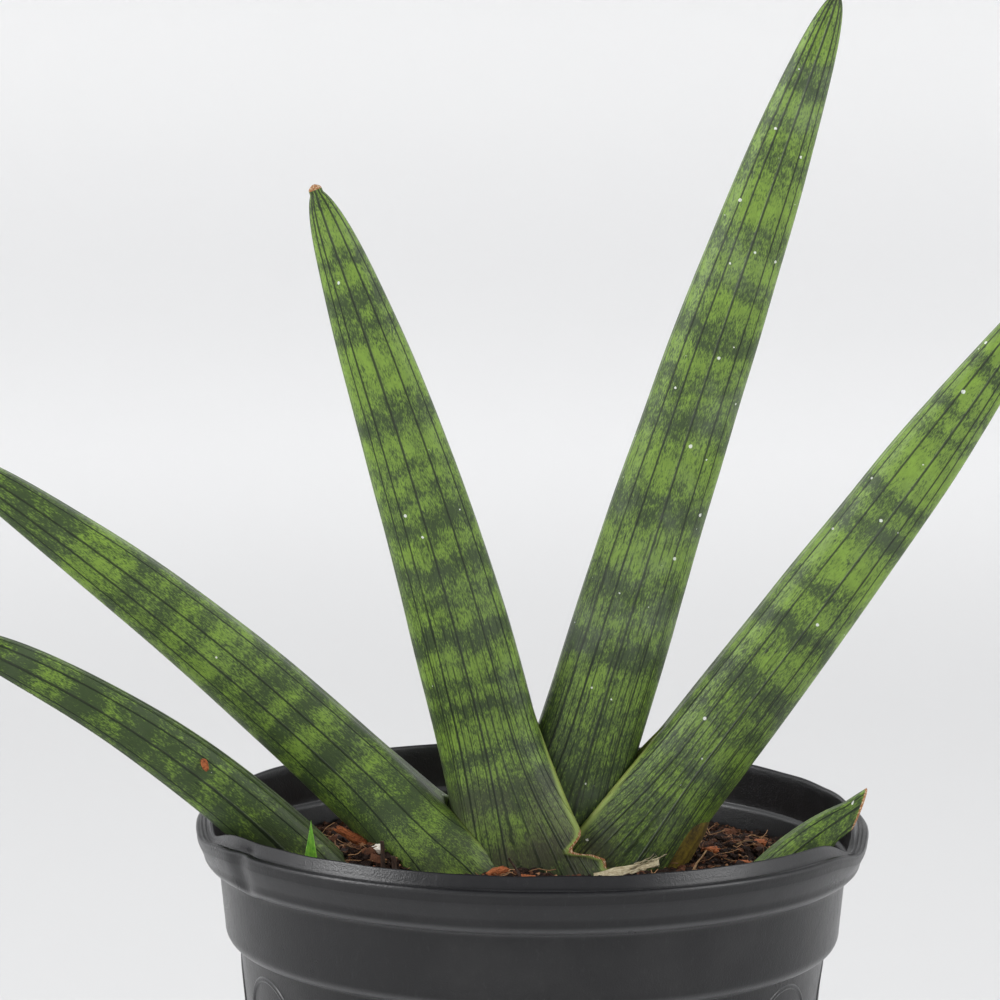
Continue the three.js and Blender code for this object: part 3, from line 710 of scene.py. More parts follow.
def earth_material(name, red_share, toned=False):
    """Peat and coir: dark, matt, with reddish and straw-coloured grains, each its own tone if toned."""
    colours = bpy.context.scene.plant_colours
    material, w, shader = new_material(name, roughness=0.92, specular=0.25)
    place = object_position(w)
    grain = w.noise(place, 1.1, 4.0, 0.7)
    pick = w.weighted((grain, 0.4), (w.attribute("tone"), 0.75)) if toned else grain
    red = w.step(pick, 0.72 - red_share, 1.02 - red_share)
    colour = w.colour(red, tuple(colours.soil_dark), tuple(colours.soil_red))
    straw = w.step(w.noise(place, 0.7, 1.0), 0.72, 0.8)
    colour = w.colour(w.math("MULTIPLY", straw, 0.4), colour, (0.36, 0.20, 0.10))
    if toned:
        bright = w.step(w.attribute("tone"), 0.93, 0.98)
        colour = w.colour(w.math("MULTIPLY", bright, 0.8), colour, (0.42, 0.22, 0.11))
    w.feed(shader.inputs["Base Color"], colour)
    add_bump(w, shader, w.noise(place, 2.6, 4.0, 0.7), 0.9, 0.5)
    return material


def fibre_material():
    material, w, shader = new_material("Coir", roughness=0.8, specular=0.3)
    colour = w.colour(w.attribute("tone"), (0.12, 0.05, 0.025), (0.48, 0.27, 0.13))
    w.feed(shader.inputs["Base Color"], colour)
    add_bump(w, shader, w.noise(object_position(w), 4.0), 0.4, 0.1)
    return material


# ---- geometry node helpers ---------------------------------------------------------


class Tree(Wiring):
    """A Geometry Nodes tree with named number inputs."""

    def __init__(self, name, inputs):
        group = bpy.data.node_groups.new(name, "GeometryNodeTree")
        group.interface.new_socket("Geometry", in_out="INPUT", socket_type="NodeSocketGeometry")
        group.interface.new_socket("Geometry", in_out="OUTPUT", socket_type="NodeSocketGeometry")
        self.identifiers = {}
        for label, default in inputs.items():
            kind = "NodeSocketInt" if isinstance(default, int) else "NodeSocketFloat"
            socket = group.interface.new_socket(label, in_out="INPUT", socket_type=kind)
            socket.default_value = default
            self.identifiers[label] = socket.identifier
        super().__init__(group)
        self.source = group.nodes.new("NodeGroupInput")
        self.sink = group.nodes.new("NodeGroupOutput")

    def value(self, label):
        return self.source.outputs[label]

    def random_value(self, low, high, seed, kind="FLOAT"):
        made = self.node("FunctionNodeRandomValue", {"data_type": kind})
        first, second, output = (0, 1, 0) if kind == "FLOAT_VECTOR" else (2, 3, 1)
        self.feed(made.inputs[first], low)
        self.feed(made.inputs[second], high)
        self.feed(made.inputs["Seed"], seed)
        return made.outputs[output]

    def magnified(self, vector, scale):
        made = self.vector_math("SCALE", vector)
        self.feed(made.node.inputs["Scale"], scale)
        return made

    def strewn(self, instance, scale, turn, tone_seed):
        """Copies of a shape on random points of the base mesh, each with a tone of its own."""
        points = self.node(
            "GeometryNodeDistributePointsOnFaces", Mesh=self.value("Geometry"), Density=self.value("Density"),
            Seed=self.value("Seed"),
        ).outputs["Points"]
        placed = self.node(
            "GeometryNodeInstanceOnPoints", Points=points, Instance=instance, Rotation=turn, Scale=scale
        ).outputs[0]
        settings = {"data_type": "FLOAT", "domain": "INSTANCE"}
        toned = self.node("GeometryNodeStoreNamedAttribute", settings, Geometry=placed, Name="tone")
        self.feed(toned.inputs["Value"], self.random_value(0.0, 1.0, tone_seed))
        return self.node("GeometryNodeRealizeInstances", Geometry=toned.outputs[0]).outputs[0]

    def shaken(self, geometry, scale, middle, reach):
        """The geometry with its points pushed about by noise round a middle value."""
        position = self.node("GeometryNodeInputPosition").outputs[0]
        shake = self.node("ShaderNodeTexNoise", Vector=position, Scale=scale, Detail=1.0).outputs["Color"]
        offset = self.magnified(self.vector_math("SUBTRACT", shake, middle), reach)
        return self.node("GeometryNodeSetPosition", Geometry=geometry, Offset=offset).outputs[0]

    def swept(self, curve, sides, radius):
        ring = self.node("GeometryNodeCurvePrimitiveCircle", Resolution=sides, Radius=radius).outputs[0]
        return self.node("GeometryNodeCurveToMesh", Curve=curve, Profile_Curve=ring, Fill_Caps=True).outputs[0]

    def finish(self, geometry, material):
        whole = self.node("GeometryNodeRealizeInstances", Geometry=geometry).outputs[0]
        painted = self.node("GeometryNodeSetMaterial", Geometry=whole, Material=material).outputs[0]
        self.tree.links.new(painted, self.sink.inputs[0])


def grow_on(base_mesh, tree, values, name):
    """Runs a tree on a mesh and returns the result as a plain mesh."""
    helper = bpy.data.objects.new(name + "_source", base_mesh)
    bpy.context.scene.collection.objects.link(helper)
    modifier = helper.modifiers.new(name, "NODES")
    modifier.node_group = tree.tree
    for label, value in values.items():
        modifier[tree.identifiers[label]] = value
    bpy.context.view_layer.update()
    depsgraph = bpy.context.evaluated_depsgraph_get()
    evaluated = helper.evaluated_get(depsgraph)
    mesh = bpy.data.meshes.new_from_object(evaluated, preserve_all_data_layers=True, depsgraph=depsgraph)
    mesh.name = name
    helper.modifiers.remove(modifier)
    bpy.data.objects.remove(helper)
    return mesh


SHEET_LIFT = 0.45  # scattered bits start this far above the soil


def scatter_mesh(pot, low, high):
    """A sheet just over the soil between two radii, for scattering loose bits on."""
    rings, sides = 22, 96
    points = []
    for i in range(rings + 1):
        for x, y in round_ring(mix(low, high, i / rings), sides):
            points.append((x, y, soil_top(pot, x, y) + SHEET_LIFT))
    return make_mesh("scatter_sheet", points, ring_faces(rings + 1, sides, reverse=True))


def crumb_tree(material):
    """Rough crumbs and flakes scattered over the soil."""
    tree = Tree("Soil crumbs", {"Density": 300000.0, "Size": 0.0015, "Flatness": 0.7, "Length": 1.4, "Seed": 1})
    grain = tree.node("GeometryNodeMeshIcoSphere", Radius=0.5, Subdivisions=1).outputs[0]
    skewed = tree.math("POWER", tree.random_value(0.0, 1.0, 3), 2.2)
    size = tree.math("MULTIPLY", tree.value("Size"), tree.math("MULTIPLY_ADD", skewed, 1.5, 0.45))
    shape = tree.combine(tree.value("Length"), tree.random_value(0.7, 1.1, 5), tree.value("Flatness"))
    turn = tree.random_value((-0.6, -0.6, 0.0), (0.6, 0.6, 6.28), 4, "FLOAT_VECTOR")
    whole = tree.strewn(grain, tree.magnified(shape, size), turn, 9)
    reach = tree.math("MULTIPLY", tree.value("Size"), 0.8)
    tree.finish(tree.shaken(whole, 1400.0, (0.5, 0.5, 0.5), reach), material)
    return tree


def fibre_tree(material):
    """Thin bent coir fibres lying on the soil."""
    tree = Tree("Coir fibres", {"Density": 12000.0, "Length": 0.007, "Thickness": 0.00012, "Seed": 2})
    line = tree.node("GeometryNodeCurvePrimitiveLine", Start=(-0.5, 0.0, 0.0), End=(0.5, 0.0, 0.0)).outputs[0]
    line = tree.node("GeometryNodeResampleCurve", Curve=line, Count=9).outputs[0]
    size = tree.math("MULTIPLY", tree.value("Length"), tree.random_value(0.4, 1.7, 6))
    turn = tree.random_value((-0.25, -0.35, 0.0), (0.25, 0.35, 6.28), 7, "FLOAT_VECTOR")
    whole = tree.strewn(line, size, turn, 8)
    bent = tree.shaken(whole, 210.0, (0.5, 0.5, 0.42), tree.math("MULTIPLY", tree.value("Length"), 0.55))
    tree.finish(tree.swept(bent, 4, tree.value("Thickness")), material)
    return tree


def rib_tree(material):
    """Raised arch outlines at even turns round the pot's tapered wall."""
    tree = Tree("Pot arches", {"Count": 12, "First turn": 0.0, "Rib radius": 0.0006})
    outline = tree.node("GeometryNodeMeshToCurve", Mesh=tree.value("Geometry")).outputs[0]
    rib = tree.swept(outline, 8, tree.value("Rib radius"))
    rib = tree.node("GeometryNodeSetShadeSmooth", Geometry=rib).outputs[0]
    points = tree.node("GeometryNodePoints", Count=tree.value("Count")).outputs[0]
    index = tree.node("GeometryNodeInputIndex").outputs[0]
    step = tree.math("DIVIDE", 2 * math.pi, tree.value("Count"))
    turn = tree.combine(0.0, 0.0, tree.math("MULTIPLY_ADD", index, step, tree.value("First turn")))
    placed = tree.node("GeometryNodeInstanceOnPoints", Points=points, Instance=rib, Rotation=turn).outputs[0]
    tree.finish(placed, material)
    return tree


def arch_outline(pot):
    """One arch on the tapered wall at the front: up one side, over and down the other."""
    half_turn, foot, crown = math.radians(9.5), 14.0, 12.0
    spring = pot.band_z - 3.2 - crown  # where the arch's curve starts
    flat = [(-1.0, mix(foot, spring, i / 30)) for i in range(30)]
    for i in range(33):
        angle = math.pi * (1 - i / 32)
        flat.append((math.cos(angle), spring + crown * math.sin(angle)))
    flat += [(1.0, mix(spring, foot, i / 30)) for i in range(1, 31)]
    points = []
    for side, z in flat:
        share = (z - 2.4) / (pot.band_z - 1.2 - 2.4)
        radius = mix(pot.base, pot.wall_top - 0.5, share) - 0.55
        angle = side * half_turn
        points.append((radius * math.cos(angle), radius * math.sin(angle), z))
    mesh = bpy.data.meshes.new("arch_outline")
    mesh.from_pydata([Vector(p) * MM for p in points], [(i, i + 1) for i in range(len(points) - 1)], [])
    return mesh


# ---- leaves ------------------------------------------------------------------------


@dataclass
class Leaf:
    """A leaf in millimetres and degrees; see leaf_axis and leaf_section for what each size does."""

    name: str
    x: float
    y: float
    lean: float
    bend: float
    tilt: float
    length: float
    width: float
    depth: float
    clasp: float
    flare: float
    channel: int
    tip: float
    fullness: float
    wrap: float = 0.0  # how far up the leaf its base wraps round the inner leaves
    bands: tuple = ()  # (distance from the tip, half width, strength)
    line_count: float = 13.0
    dust: float = 0.3
    redness: float = 0.0
    foot: float = 1.0
    tear: float = 0.0  # height up the leaf of a torn bite in the front margin
    fine: float = 1.0  # how many short lines lie between the long ones
    shade: float = 0.0  # how much darker than the others the whole leaf is
    dry_tip: float = 1.0  # how far the dry end reaches, 0 for none
    cut: float = 0.0  # slope of an oblique cut across the end
    pale_margin: float = 1.0  # how plainly the margin of the wrapping base shows


TALL = Leaf(
    "leaf_tall", 0.8, 0.4, 15.6, 4.9, 3, 236, 27, 19, 8, 0, -1, 2.2, 0.46,
    bands=(
        (0, 2.5, 0.9), (7, 2, 0.35), (22, 4.5, 0.95), (34, 2.5, 0.5), (44, 5, 0.62), (63, 4, 0.75),
        (75, 2.5, 0.7), (87, 3.5, 0.95), (100, 4.5, 0.7), (111, 4, 0.85), (131, 5, 0.9), (153, 5, 0.8),
        (168, 5, 1.0), (182, 4, 0.4), (196, 9, 0.85), (208, 6, 0.6), (222, 10, 0.75),
    ),
    line_count=15, dust=1.0, foot=0.2, shade=0.05, dry_tip=0.0,
)
RIGHT = Leaf(
    "leaf_right", 11.1, 0, 37.4, -1.5, 1, 191.6, 25, 18, 11.5, 2, -1, 2.4, 0.44, wrap=52,
    bands=(
        (3, 3, 0.8), (12, 2, 0.5), (25, 2.2, 0.8), (36, 1.8, 0.8), (43, 1.8, 0.7), (64, 2.4, 0.95),
        (73, 3.5, 0.95), (92, 3, 0.75), (104, 3.5, 1.0), (121, 5, 0.95), (132, 3, 0.7), (144, 4, 0.75),
        (157, 6, 0.6), (172, 9, 0.8),
    ),
    line_count=14, dust=0.5, redness=0.15, foot=0.55,
)
CENTRE = Leaf(
    "leaf_centre", -0.6, -0.3, -11.2, -9.7, -3, 186, 27, 19, 16, 11, 1, 3.4, 0.46, wrap=50,
    bands=(
        (4, 1.5, 0.35), (18, 1.6, 0.75), (28, 3, 0.95), (36, 2, 0.7), (58, 3, 0.8), (71, 2, 0.5),
        (78, 1.6, 0.5), (85, 2.6, 0.9), (96, 3, 0.9), (103, 2, 0.6), (113, 2.8, 1.0), (125, 1.8, 0.6),
        (132, 2.2, 0.9), (144, 2.2, 0.75), (154, 4, 1.0), (170, 6, 0.75), (180, 6, 0.7),
    ),
    line_count=14, dust=0.3, redness=0.1, tear=16.5, shade=0.22, dry_tip=0.75,
)
LEFT = Leaf(
    "leaf_left", -9.2, 0, -42.1, -14, -2, 174.6, 22.4, 16, 19, 0, 1, 2.2, 0.44, wrap=32,
    bands=(
        (3, 3, 0.9), (20, 5, 0.8), (31, 4, 0.75), (54, 3, 0.7), (64, 3, 0.5), (74, 3, 0.35),
        (87, 2.5, 0.6), (95, 3, 0.65), (105, 3.5, 0.85), (119, 3, 0.9), (131, 4, 0.6), (139, 3, 0.9),
        (152, 4, 0.6), (168, 6, 0.7),
    ),
    line_count=12, dust=0.15, redness=1.0, foot=0.3, fine=0.4, shade=0.42, pale_margin=0.5,
)
LOW = Leaf(
    "leaf_low", -41.7, -12, 0, -28.2, -9, 123.7, 16.4, 12.5, 6.2, 0, 1, 2, 0.4,
    bands=(
        (4, 3, 0.7), (17, 4, 0.85), (35, 3.5, 0.95), (51, 5, 0.8), (61, 2.5, 0.6), (68, 2.5, 0.7),
        (80, 4, 0.7), (92, 5, 0.8), (110, 7, 0.7),
    ),
    line_count=11, dust=0.35, foot=0.5, fine=0.3, shade=0.68,
)
STUB = Leaf(
    "leaf_stub", 47.1, -26, 0, 25, 3, 48.5, 14.5, 9, 5, 0, -1, 7, 0.5,
    bands=((3, 1.5, 0.6), (9, 2.2, 0.7), (18, 3, 0.5), (28, 3, 0.5), (38, 4, 0.5)),
    line_count=9, dust=0.25, foot=0.2, fine=0.2, shade=0.4, cut=1.2,
)
LIP_CLEARANCE = {"leaf_low": 3.6, "leaf_stub": 2.6}
CLASP_FULL = 14.0  # the clasping base keeps its full depth up to here
CLASP_END = 52.0
FLARE_LENGTH = 42.0
LEAF_RINGS = 230
OUTSIDE_POINTS = 84  # of each ring, round the outside and across the channel
CHANNEL_POINTS = 18


def leaf_axis(leaf, s):
    """Point and heading of a leaf's axis at a distance s from its buried end."""
    start = math.radians(leaf.lean)
    rate = math.radians(leaf.bend) / leaf.length
    heading = start + rate * s
    sizes = bpy.context.scene.plant_sizes
    foot = (sizes.pot_height - sizes.root_depth) / MM
    x = leaf.x + (math.cos(start) - math.cos(heading)) / rate
    z = foot + (math.sin(heading) - math.sin(start)) / rate
    return Vector((x, leaf.y + math.tan(math.radians(leaf.tilt)) * s, z)), heading


def leaf_section(leaf, s):
    """Half width, half depth, flare and squareness of the leaf at a distance s along it."""
    share = max(0.0, 1 - s / leaf.length)
    taper = max((1 - (1 - share) ** 2) ** leaf.fullness, leaf.tip / leaf.width)
    free = smoothstep(s, CLASP_FULL, CLASP_END)
    flare = leaf.flare * max(0.0, 1 - s / FLARE_LENGTH) ** 2
    half_depth = mix(leaf.clasp, leaf.depth / 2 * taper, free)
    return leaf.width / 2 * taper, half_depth, flare, mix(2 / 3, 0.92, free)


def lean_over_lip(leaf, pot):
    """Gives an offshoot the lean that carries its axis over the lip, as the frame's leaf has."""
    press = LOW_PRESS if leaf.x < 0 else STUB_PRESS
    across = math.cos(press.angle) * pot.lip_outer - leaf.x
    lift = LIP_CLEARANCE[leaf.name] + leaf.width / 2
    root_depth = bpy.context.scene.plant_sizes.root_depth / MM
    for _ in range(6):
        rise = root_depth - press.dip + lift
        reach = math.hypot(across, rise)
        chord = math.degrees(math.atan2(across, rise))
        turned = leaf.bend * reach / leaf.length / 2
        leaf.lean = chord - turned
        slope = abs(math.sin(math.radians(chord + turned)))
        lift = LIP_CLEARANCE[leaf.name] + leaf_section(leaf, reach)[0] / slope


MARGIN_REACH = 0.8  # where a wrapping base ends, as a share of its section's reach
SHUT = 0.12  # smallest opening of the channel, in radians


def channel_opening(leaf, s, front):
    """Angle from the channel's middle to the margin, and the section's reach on that side."""
    half_width, _, flare, squareness = leaf_section(leaf, s)
    edge = half_width + flare
    if leaf.wrap <= 0:
        return SHUT, edge, squareness
    open_share = 1 - smoothstep(s, 15, leaf.wrap)
    ratio = 1 - (1 - MARGIN_REACH) * open_share
    reach = edge / ratio
    if leaf.tear and front:
        bite = 4.2 * math.exp(-(((s - leaf.tear) / 2.0) ** 2))
        bite -= 1.5 * math.exp(-(((s - leaf.tear + 4.6) / 1.6) ** 2))
        ragged = 0.9 * noise.noise((s * 0.9, 1.7, 0.3)) * (1 - smoothstep(s, leaf.tear, leaf.tear + 5))
        ratio = (edge - bite + ragged) / reach
    ratio = min(ratio, 0.9999)
    return max(SHUT, math.acos(ratio ** (1 / squareness))), reach, squareness


def leaf_point(leaf, s, angle, front_margin, back_margin, reach, squareness):
    """Position in the leaf's own section: u across towards the channel, v towards the front."""
    half_width, half_depth, _, _ = leaf_section(leaf, s)
    cos, sin = math.cos(angle), math.sin(angle)
    u = signed_power(cos, squareness) * (reach if cos > 0 else half_width)
    v = signed_power(sin, squareness) * half_depth
    margin = front_margin if angle > 0 else back_margin
    wrap_open = 1 - smoothstep(s, leaf.wrap - 12, leaf.wrap) if leaf.wrap > 0 else 0.0
    dent = 0.1 * math.exp(-((angle / 0.35) ** 2))
    if abs(angle) < margin:
        across = abs(angle) / margin
        dent = max(dent, 0.7 * wrap_open * (1 - across ** 6))
    return u * (1 - dent), v * (1 - dent)


def leaf_angles(front_margin, back_margin):
    """Angles of a ring's points: the channel from margin to margin, then round the outside."""
    angles = [mix(-back_margin, front_margin, i / CHANNEL_POINTS) for i in range(CHANNEL_POINTS)]
    far_margin = 2 * math.pi - back_margin
    angles += [mix(front_margin, far_margin, i / OUTSIDE_POINTS) for i in range(OUTSIDE_POINTS)]
    return [a if a <= math.pi else a - 2 * math.pi for a in angles]


def band_strength(leaf, s, angle):
    """How dark the leaf's cross bands are at a place, from 0 to 1, with wandering edges."""
    from_tip = leaf.length - s
    seed = leaf.x * 0.37 + leaf.length
    place = from_tip
    for reach, period, amount in ((1.5, 22, 2.2), (4.8, 9, 1.6), (13.5, 12, 1.3)):
        spot = (math.cos(angle) * reach, math.sin(angle) * reach, from_tip / period + seed)
        place += noise.noise(spot) * amount
    total = 0.0
    for centre, half_width, strength in leaf.bands:
        total += strength * math.exp(-(((place - centre) / (half_width * 1.15)) ** 2))
    return min(1.0, total)


def leaf_rows(leaf, rings):
    """Distances along the leaf of its rings with their shrinking, closer together at the tip."""
    rows = [(leaf.length * (1 - (1 - i / rings) ** 1.25), 1.0) for i in range(rings + 1)]
    bulge = 0.2 if leaf.cut else leaf.tip * 0.09
    for k, shrink in enumerate((0.93, 0.78, 0.52, 0.2)):
        rows.append((leaf.length + bulge * (k + 1), shrink))
    return rows


def dry_share(leaf, s, clipped, angle, edge_distance):
    """How dry and healed the skin is: at the end, and along a torn margin."""
    dry_length = 1.3 if leaf.cut else 0.45
    end = leaf.dry_tip * smoothstep(s, leaf.length - dry_length, leaf.length + 0.1)
    if leaf.tear and angle > 0:
        near_tear = smoothstep(clipped, leaf.tear - 9, leaf.tear - 5)
        near_tear *= 1 - smoothstep(clipped, leaf.tear + 2, leaf.tear + 6)
        end = max(end, near_tear * math.exp(-(edge_distance ** 2)))
    return end


def leaf_mesh(leaf, rings=LEAF_RINGS):
    """The leaf as one closed skin, with its own map and the attributes its material reads."""
    points, uv_rows, places = [], [], []
    floats = {"band": [], "foot": [], "margin": [], "callus": [], "girth": [], "across": [], "along": []}
    for s, shrink in leaf_rows(leaf, rings):
        clipped = min(s, leaf.length)
        axis, heading = leaf_axis(leaf, s)
        across = Vector((math.cos(heading), 0, -math.sin(heading))) * leaf.channel
        forward = Vector((math.sin(heading), 0, math.cos(heading)))
        front_margin, reach, squareness = channel_opening(leaf, clipped, True)
        back_margin = channel_opening(leaf, clipped, False)[0]
        half_width, half_depth, _, _ = leaf_section(leaf, clipped)
        wrapping = 1 - smoothstep(clipped, leaf.wrap - 7, leaf.wrap) if leaf.wrap > 0 else 0.0
        uv_row = []
        for angle in leaf_angles(front_margin, back_margin):
            u, v = leaf_point(leaf, clipped, angle, front_margin, back_margin, reach, squareness)
            edge_angle = (front_margin if angle > 0 else back_margin) - abs(angle)
            edge_distance = abs(edge_angle) * max(half_width, half_depth) * (1.0 if edge_angle < 0 else 2.2)
            margin = math.exp(-((edge_distance / 1.7) ** 2)) * wrapping * leaf.pale_margin
            thick = 1 + 0.03 * margin
            swell = noise.noise((u * 0.06, v * 0.06, clipped * 0.035 + leaf.length)) * 0.35
            outward = Vector((u, v, 0))
            if outward.length > 0.01:
                outward.normalize()
            u = (u * thick + outward.x * swell) * shrink
            v = (v * thick + outward.y * swell) * shrink
            spot = axis + across * u
            spot.y -= v
            if leaf.cut:
                below = max(0.0, half_width - u) * smoothstep(s, leaf.length * 0.55, leaf.length)
                spot -= forward * below * leaf.cut
            points.append(spot)
            places.append((u, v, clipped))
            uv_row.append((angle / (2 * math.pi) + 0.5, clipped * 0.01))
            for key, value in (
                ("band", band_strength(leaf, clipped, angle)), ("margin", margin),
                ("foot", leaf.foot * (1 - smoothstep(clipped, 18, 46))),
                ("callus", dry_share(leaf, s, clipped, angle, edge_distance)),
                ("girth", (half_width + half_depth) / 2),
                ("across", angle / math.pi), ("along", clipped / leaf.length),
            ):
                floats[key].append(value)
        uv_rows.append(uv_row)
    return close_leaf(leaf, points, uv_rows, floats, places)


def close_leaf(leaf, points, uv_rows, floats, places):
    """Joins the rings into faces, with the map unwrapped across its seam, and caps the ends."""
    sides = OUTSIDE_POINTS + CHANNEL_POINTS
    faces, uvs = [], []
    flip = leaf.channel < 0
    for i in range(len(uv_rows) - 1):
        for j in range(sides):
            k = (j + 1) % sides
            a, b = i * sides + j, i * sides + k
            corners = [a, b, b + sides, a + sides]
            maps = [uv_rows[i][j], uv_rows[i][k], uv_rows[i + 1][k], uv_rows[i + 1][j]]
            if max(m[0] for m in maps) - min(m[0] for m in maps) > 0.5:
                maps = [(m[0] + 1.0, m[1]) if m[0] < 0.5 else m for m in maps]
            if flip:
                corners.reverse()
                maps.reverse()
            faces.append(corners)
            uvs.extend(maps)
    for start, row, towards_root in ((0, 0, True), (len(points) - sides, len(uv_rows) - 1, False)):
        hub = len(points)
        points.append(sum((points[start + j] for j in range(sides)), Vector()) / sides)
        for key in floats:
            floats[key].append(floats[key][start])
        places.append((0.0, 0.0, places[start][2]))
        for j in range(sides):
            k = (j + 1) % sides
            corners = [hub, start + k, start + j] if towards_root else [hub, start + j, start + k]
            if flip:
                corners.reverse()
            faces.append(corners)
            uvs.extend([uv_rows[row][j]] * 3)
    return make_mesh(leaf.name, points, faces, uvs, floats, {"place": places})


def leaf_material(leaf):
    colours = bpy.context.scene.plant_colours
    material, w, shader = new_material(leaf.name + " skin", specular=mix(0.36, 0.16, leaf.shade))
    across, along, _ = w.separate(w.node("ShaderNodeUVMap", {"uv_map": "UVMap"}).outputs[0])
    along = w.math("MULTIPLY", along, 100.0)
    near_foot = w.math("SUBTRACT", 1.0, w.step(along, 40.0, leaf.length * 0.8))
    skin = use_group(
        w, leaf_group(), Place=w.attribute("place", "Vector"), Angle=across, Along=along,
        Girth=w.attribute("girth"), Band=w.attribute("band"), Foot=w.attribute("foot"),
        Margin=w.attribute("margin"), Callus=w.attribute("callus"), Seed=leaf.length % 7,
        Line_count=leaf.line_count, Fine_lines=w.math("MULTIPLY", near_foot, leaf.fine), Dust=leaf.dust,
        Redness=leaf.redness, Shade=leaf.shade, Light=tuple(colours.leaf_light), Dark=tuple(colours.leaf_dark),
        Furrow=tuple(colours.leaf_line), Foot_colour=tuple(colours.leaf_base),
        Margin_colour=tuple(colours.leaf_margin), Callus_colour=tuple(colours.callus),
    )
    w.feed(shader.inputs["Base Color"], skin["Color"])
    w.feed(shader.inputs["Roughness"], skin["Roughness"])
    shader.inputs["Subsurface Weight"].default_value = 0.06
    shader.inputs["Subsurface Radius"].default_value = (0.2, 0.4, 0.1)
    shader.inputs["Subsurface Scale"].default_value = 1.5 * MM
    add_bump(w, shader, skin["Height"], 0.75, 0.26)
    return material


# ---- litter: chips, grains, sticks and other loose bits -----------------------------


@dataclass
class Lump:
    """A loose chip or grain, laid where its node of the frame lies."""

    node: str
    slot: str
    size: tuple
    yaw: float = 0.0
    pitch: float = 0.0
    blocky: float = 0.75  # below 1 squares it off
    rough: float = 0.35
    lift: float = 0.7  # clear of the crumbs


LUMPS = (
    Lump("bark_chip_1", "bark", (9, 3, 2.2), -12, -28),
    Lump("bark_chip_2", "bark", (4.5, 3, 1.8), 20),
    Lump("bark_chip_3", "bark", (5, 3.4, 2.2), 25, 12),
    Lump("bark_chip_4", "bark", (4, 2.8, 1.8), -30),
    Lump("bark_chip_5", "bark", (4.2, 2.6, 2), 50),
    Lump("bark_chip_6", "bark", (4.4, 2.6, 1.8), 15),
    Lump("bark_chip_7", "bark", (4, 3, 1.7), 70),
    Lump("bark_chip_8", "bark", (5.6, 2.2, 1.6), -35),
    Lump("bark_bit", "bark", (1.6, 0.9, 3), 0, 15, 0.9, 0.3, 0.0),
    Lump("perlite_1", "perlite", (3, 2.4, 2.2), 10, 0, 0.95, 0.28, 1.2),
    Lump("perlite_2", "perlite", (2.4, 2.2, 1.9), 40, 0, 0.95, 0.28),
    Lump("perlite_3", "perlite", (2, 1.8, 1.6), 0, 0, 0.95, 0.28),
    Lump("perlite_4", "perlite", (2.6, 2.2, 2), 0, 0, 0.95, 0.28),
)


def box_in_mm(node):
    low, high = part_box(node)
    return Vector(low) / MM, Vector(high) / MM


def lump_mesh(lump):
    low, high = box_in_mm(lump.node)
    centre = (low + high) / 2 + Vector((0, 0, lump.lift))
    turn = Matrix.Rotation(math.radians(lump.yaw), 3, "Z")
    turn @= Matrix.Rotation(math.radians(-lump.pitch), 3, "Y")
    ball = bmesh.new()
    bmesh.ops.create_icosphere(ball, subdivisions=4, radius=1.0)
    points = []
    for vert in ball.verts:
        p = Vector([signed_power(c, lump.blocky) for c in vert.co])
        place = (p.x * 0.8 + centre.x, p.y * 2.2 + centre.y, p.z * 2.2)
        swell = 1 + lump.rough * noise.fractal(place, 0.7, 2.1, 4)
        half = Vector([extent / 2 * swell for extent in lump.size])
        points.append(centre + turn @ Vector((p.x * half.x, p.y * half.y, p.z * half.z)))
    faces = [tuple(v.index for v in face.verts) for face in ball.faces]
    ball.free()
    return make_mesh(lump.node, points, faces)


@dataclass
class Strip:
    """A thin strip, stick or blade between two places of its node's box, given as shares of the box."""

    node: str
    slot: str
    start: tuple
    end: tuple
    side: tuple
    width: float
    thickness: float
    bow: float = 0.0
    fold: float = 0.0  # depth of a V fold, as a share of the half width
    pointed: float = 0.5  # width left at the end, as a share
    wobble: float = 0.3
    steps: int = 48


STRIPS = (
    Strip(
        "grass_sprout", "sprout", (0.4, 0.4, 0), (0.5, 0.6, 1.03), (1, 0.1, 0), 5.4, 0.35, -0.8, 0.3, 0.02, 0.05,
    ),
    Strip(
        "dry_sheath", "sheath", (0, 0.6, 0.75), (0.86, 0.2, 1.6), (-0.1, 0.6, 0.8), 3.6, 0.4, 0.5, 0.12, 0.45,
        0.35,
    ),
    Strip("stick_1", "stick", (0.7, 0.3, 0), (0.3, 0.7, 1), (1, 0, 0), 1.7, 1.3, 0.1, 0, 0.6, 0.25),
    Strip("stick_2", "stick", (0.75, 0.3, 0), (0.25, 0.7, 1), (1, 0, 0), 2.0, 1.4, 0.1, 0, 0.6, 0.25),
    Strip("twig_1", "stick", (0.95, 0.1, 0), (0.05, 0.9, 1), (0.8, 0.6, 0), 1.0, 0.9, 0.3, 0, 0.6, 0.35),
    Strip("fibre_1", "fibre", (0.05, 0.1, 0), (0.95, 0.9, 1), (0.5, -0.8, 0), 0.8, 0.6, 0.7, 0, 0.5, 0.4),
    Strip("fibre_2", "fibre", (0, 0.2, 0), (1, 0.8, 0.8), (0, 1, 0), 0.7, 0.6, -1.0, 0, 0.5, 0.4),
)


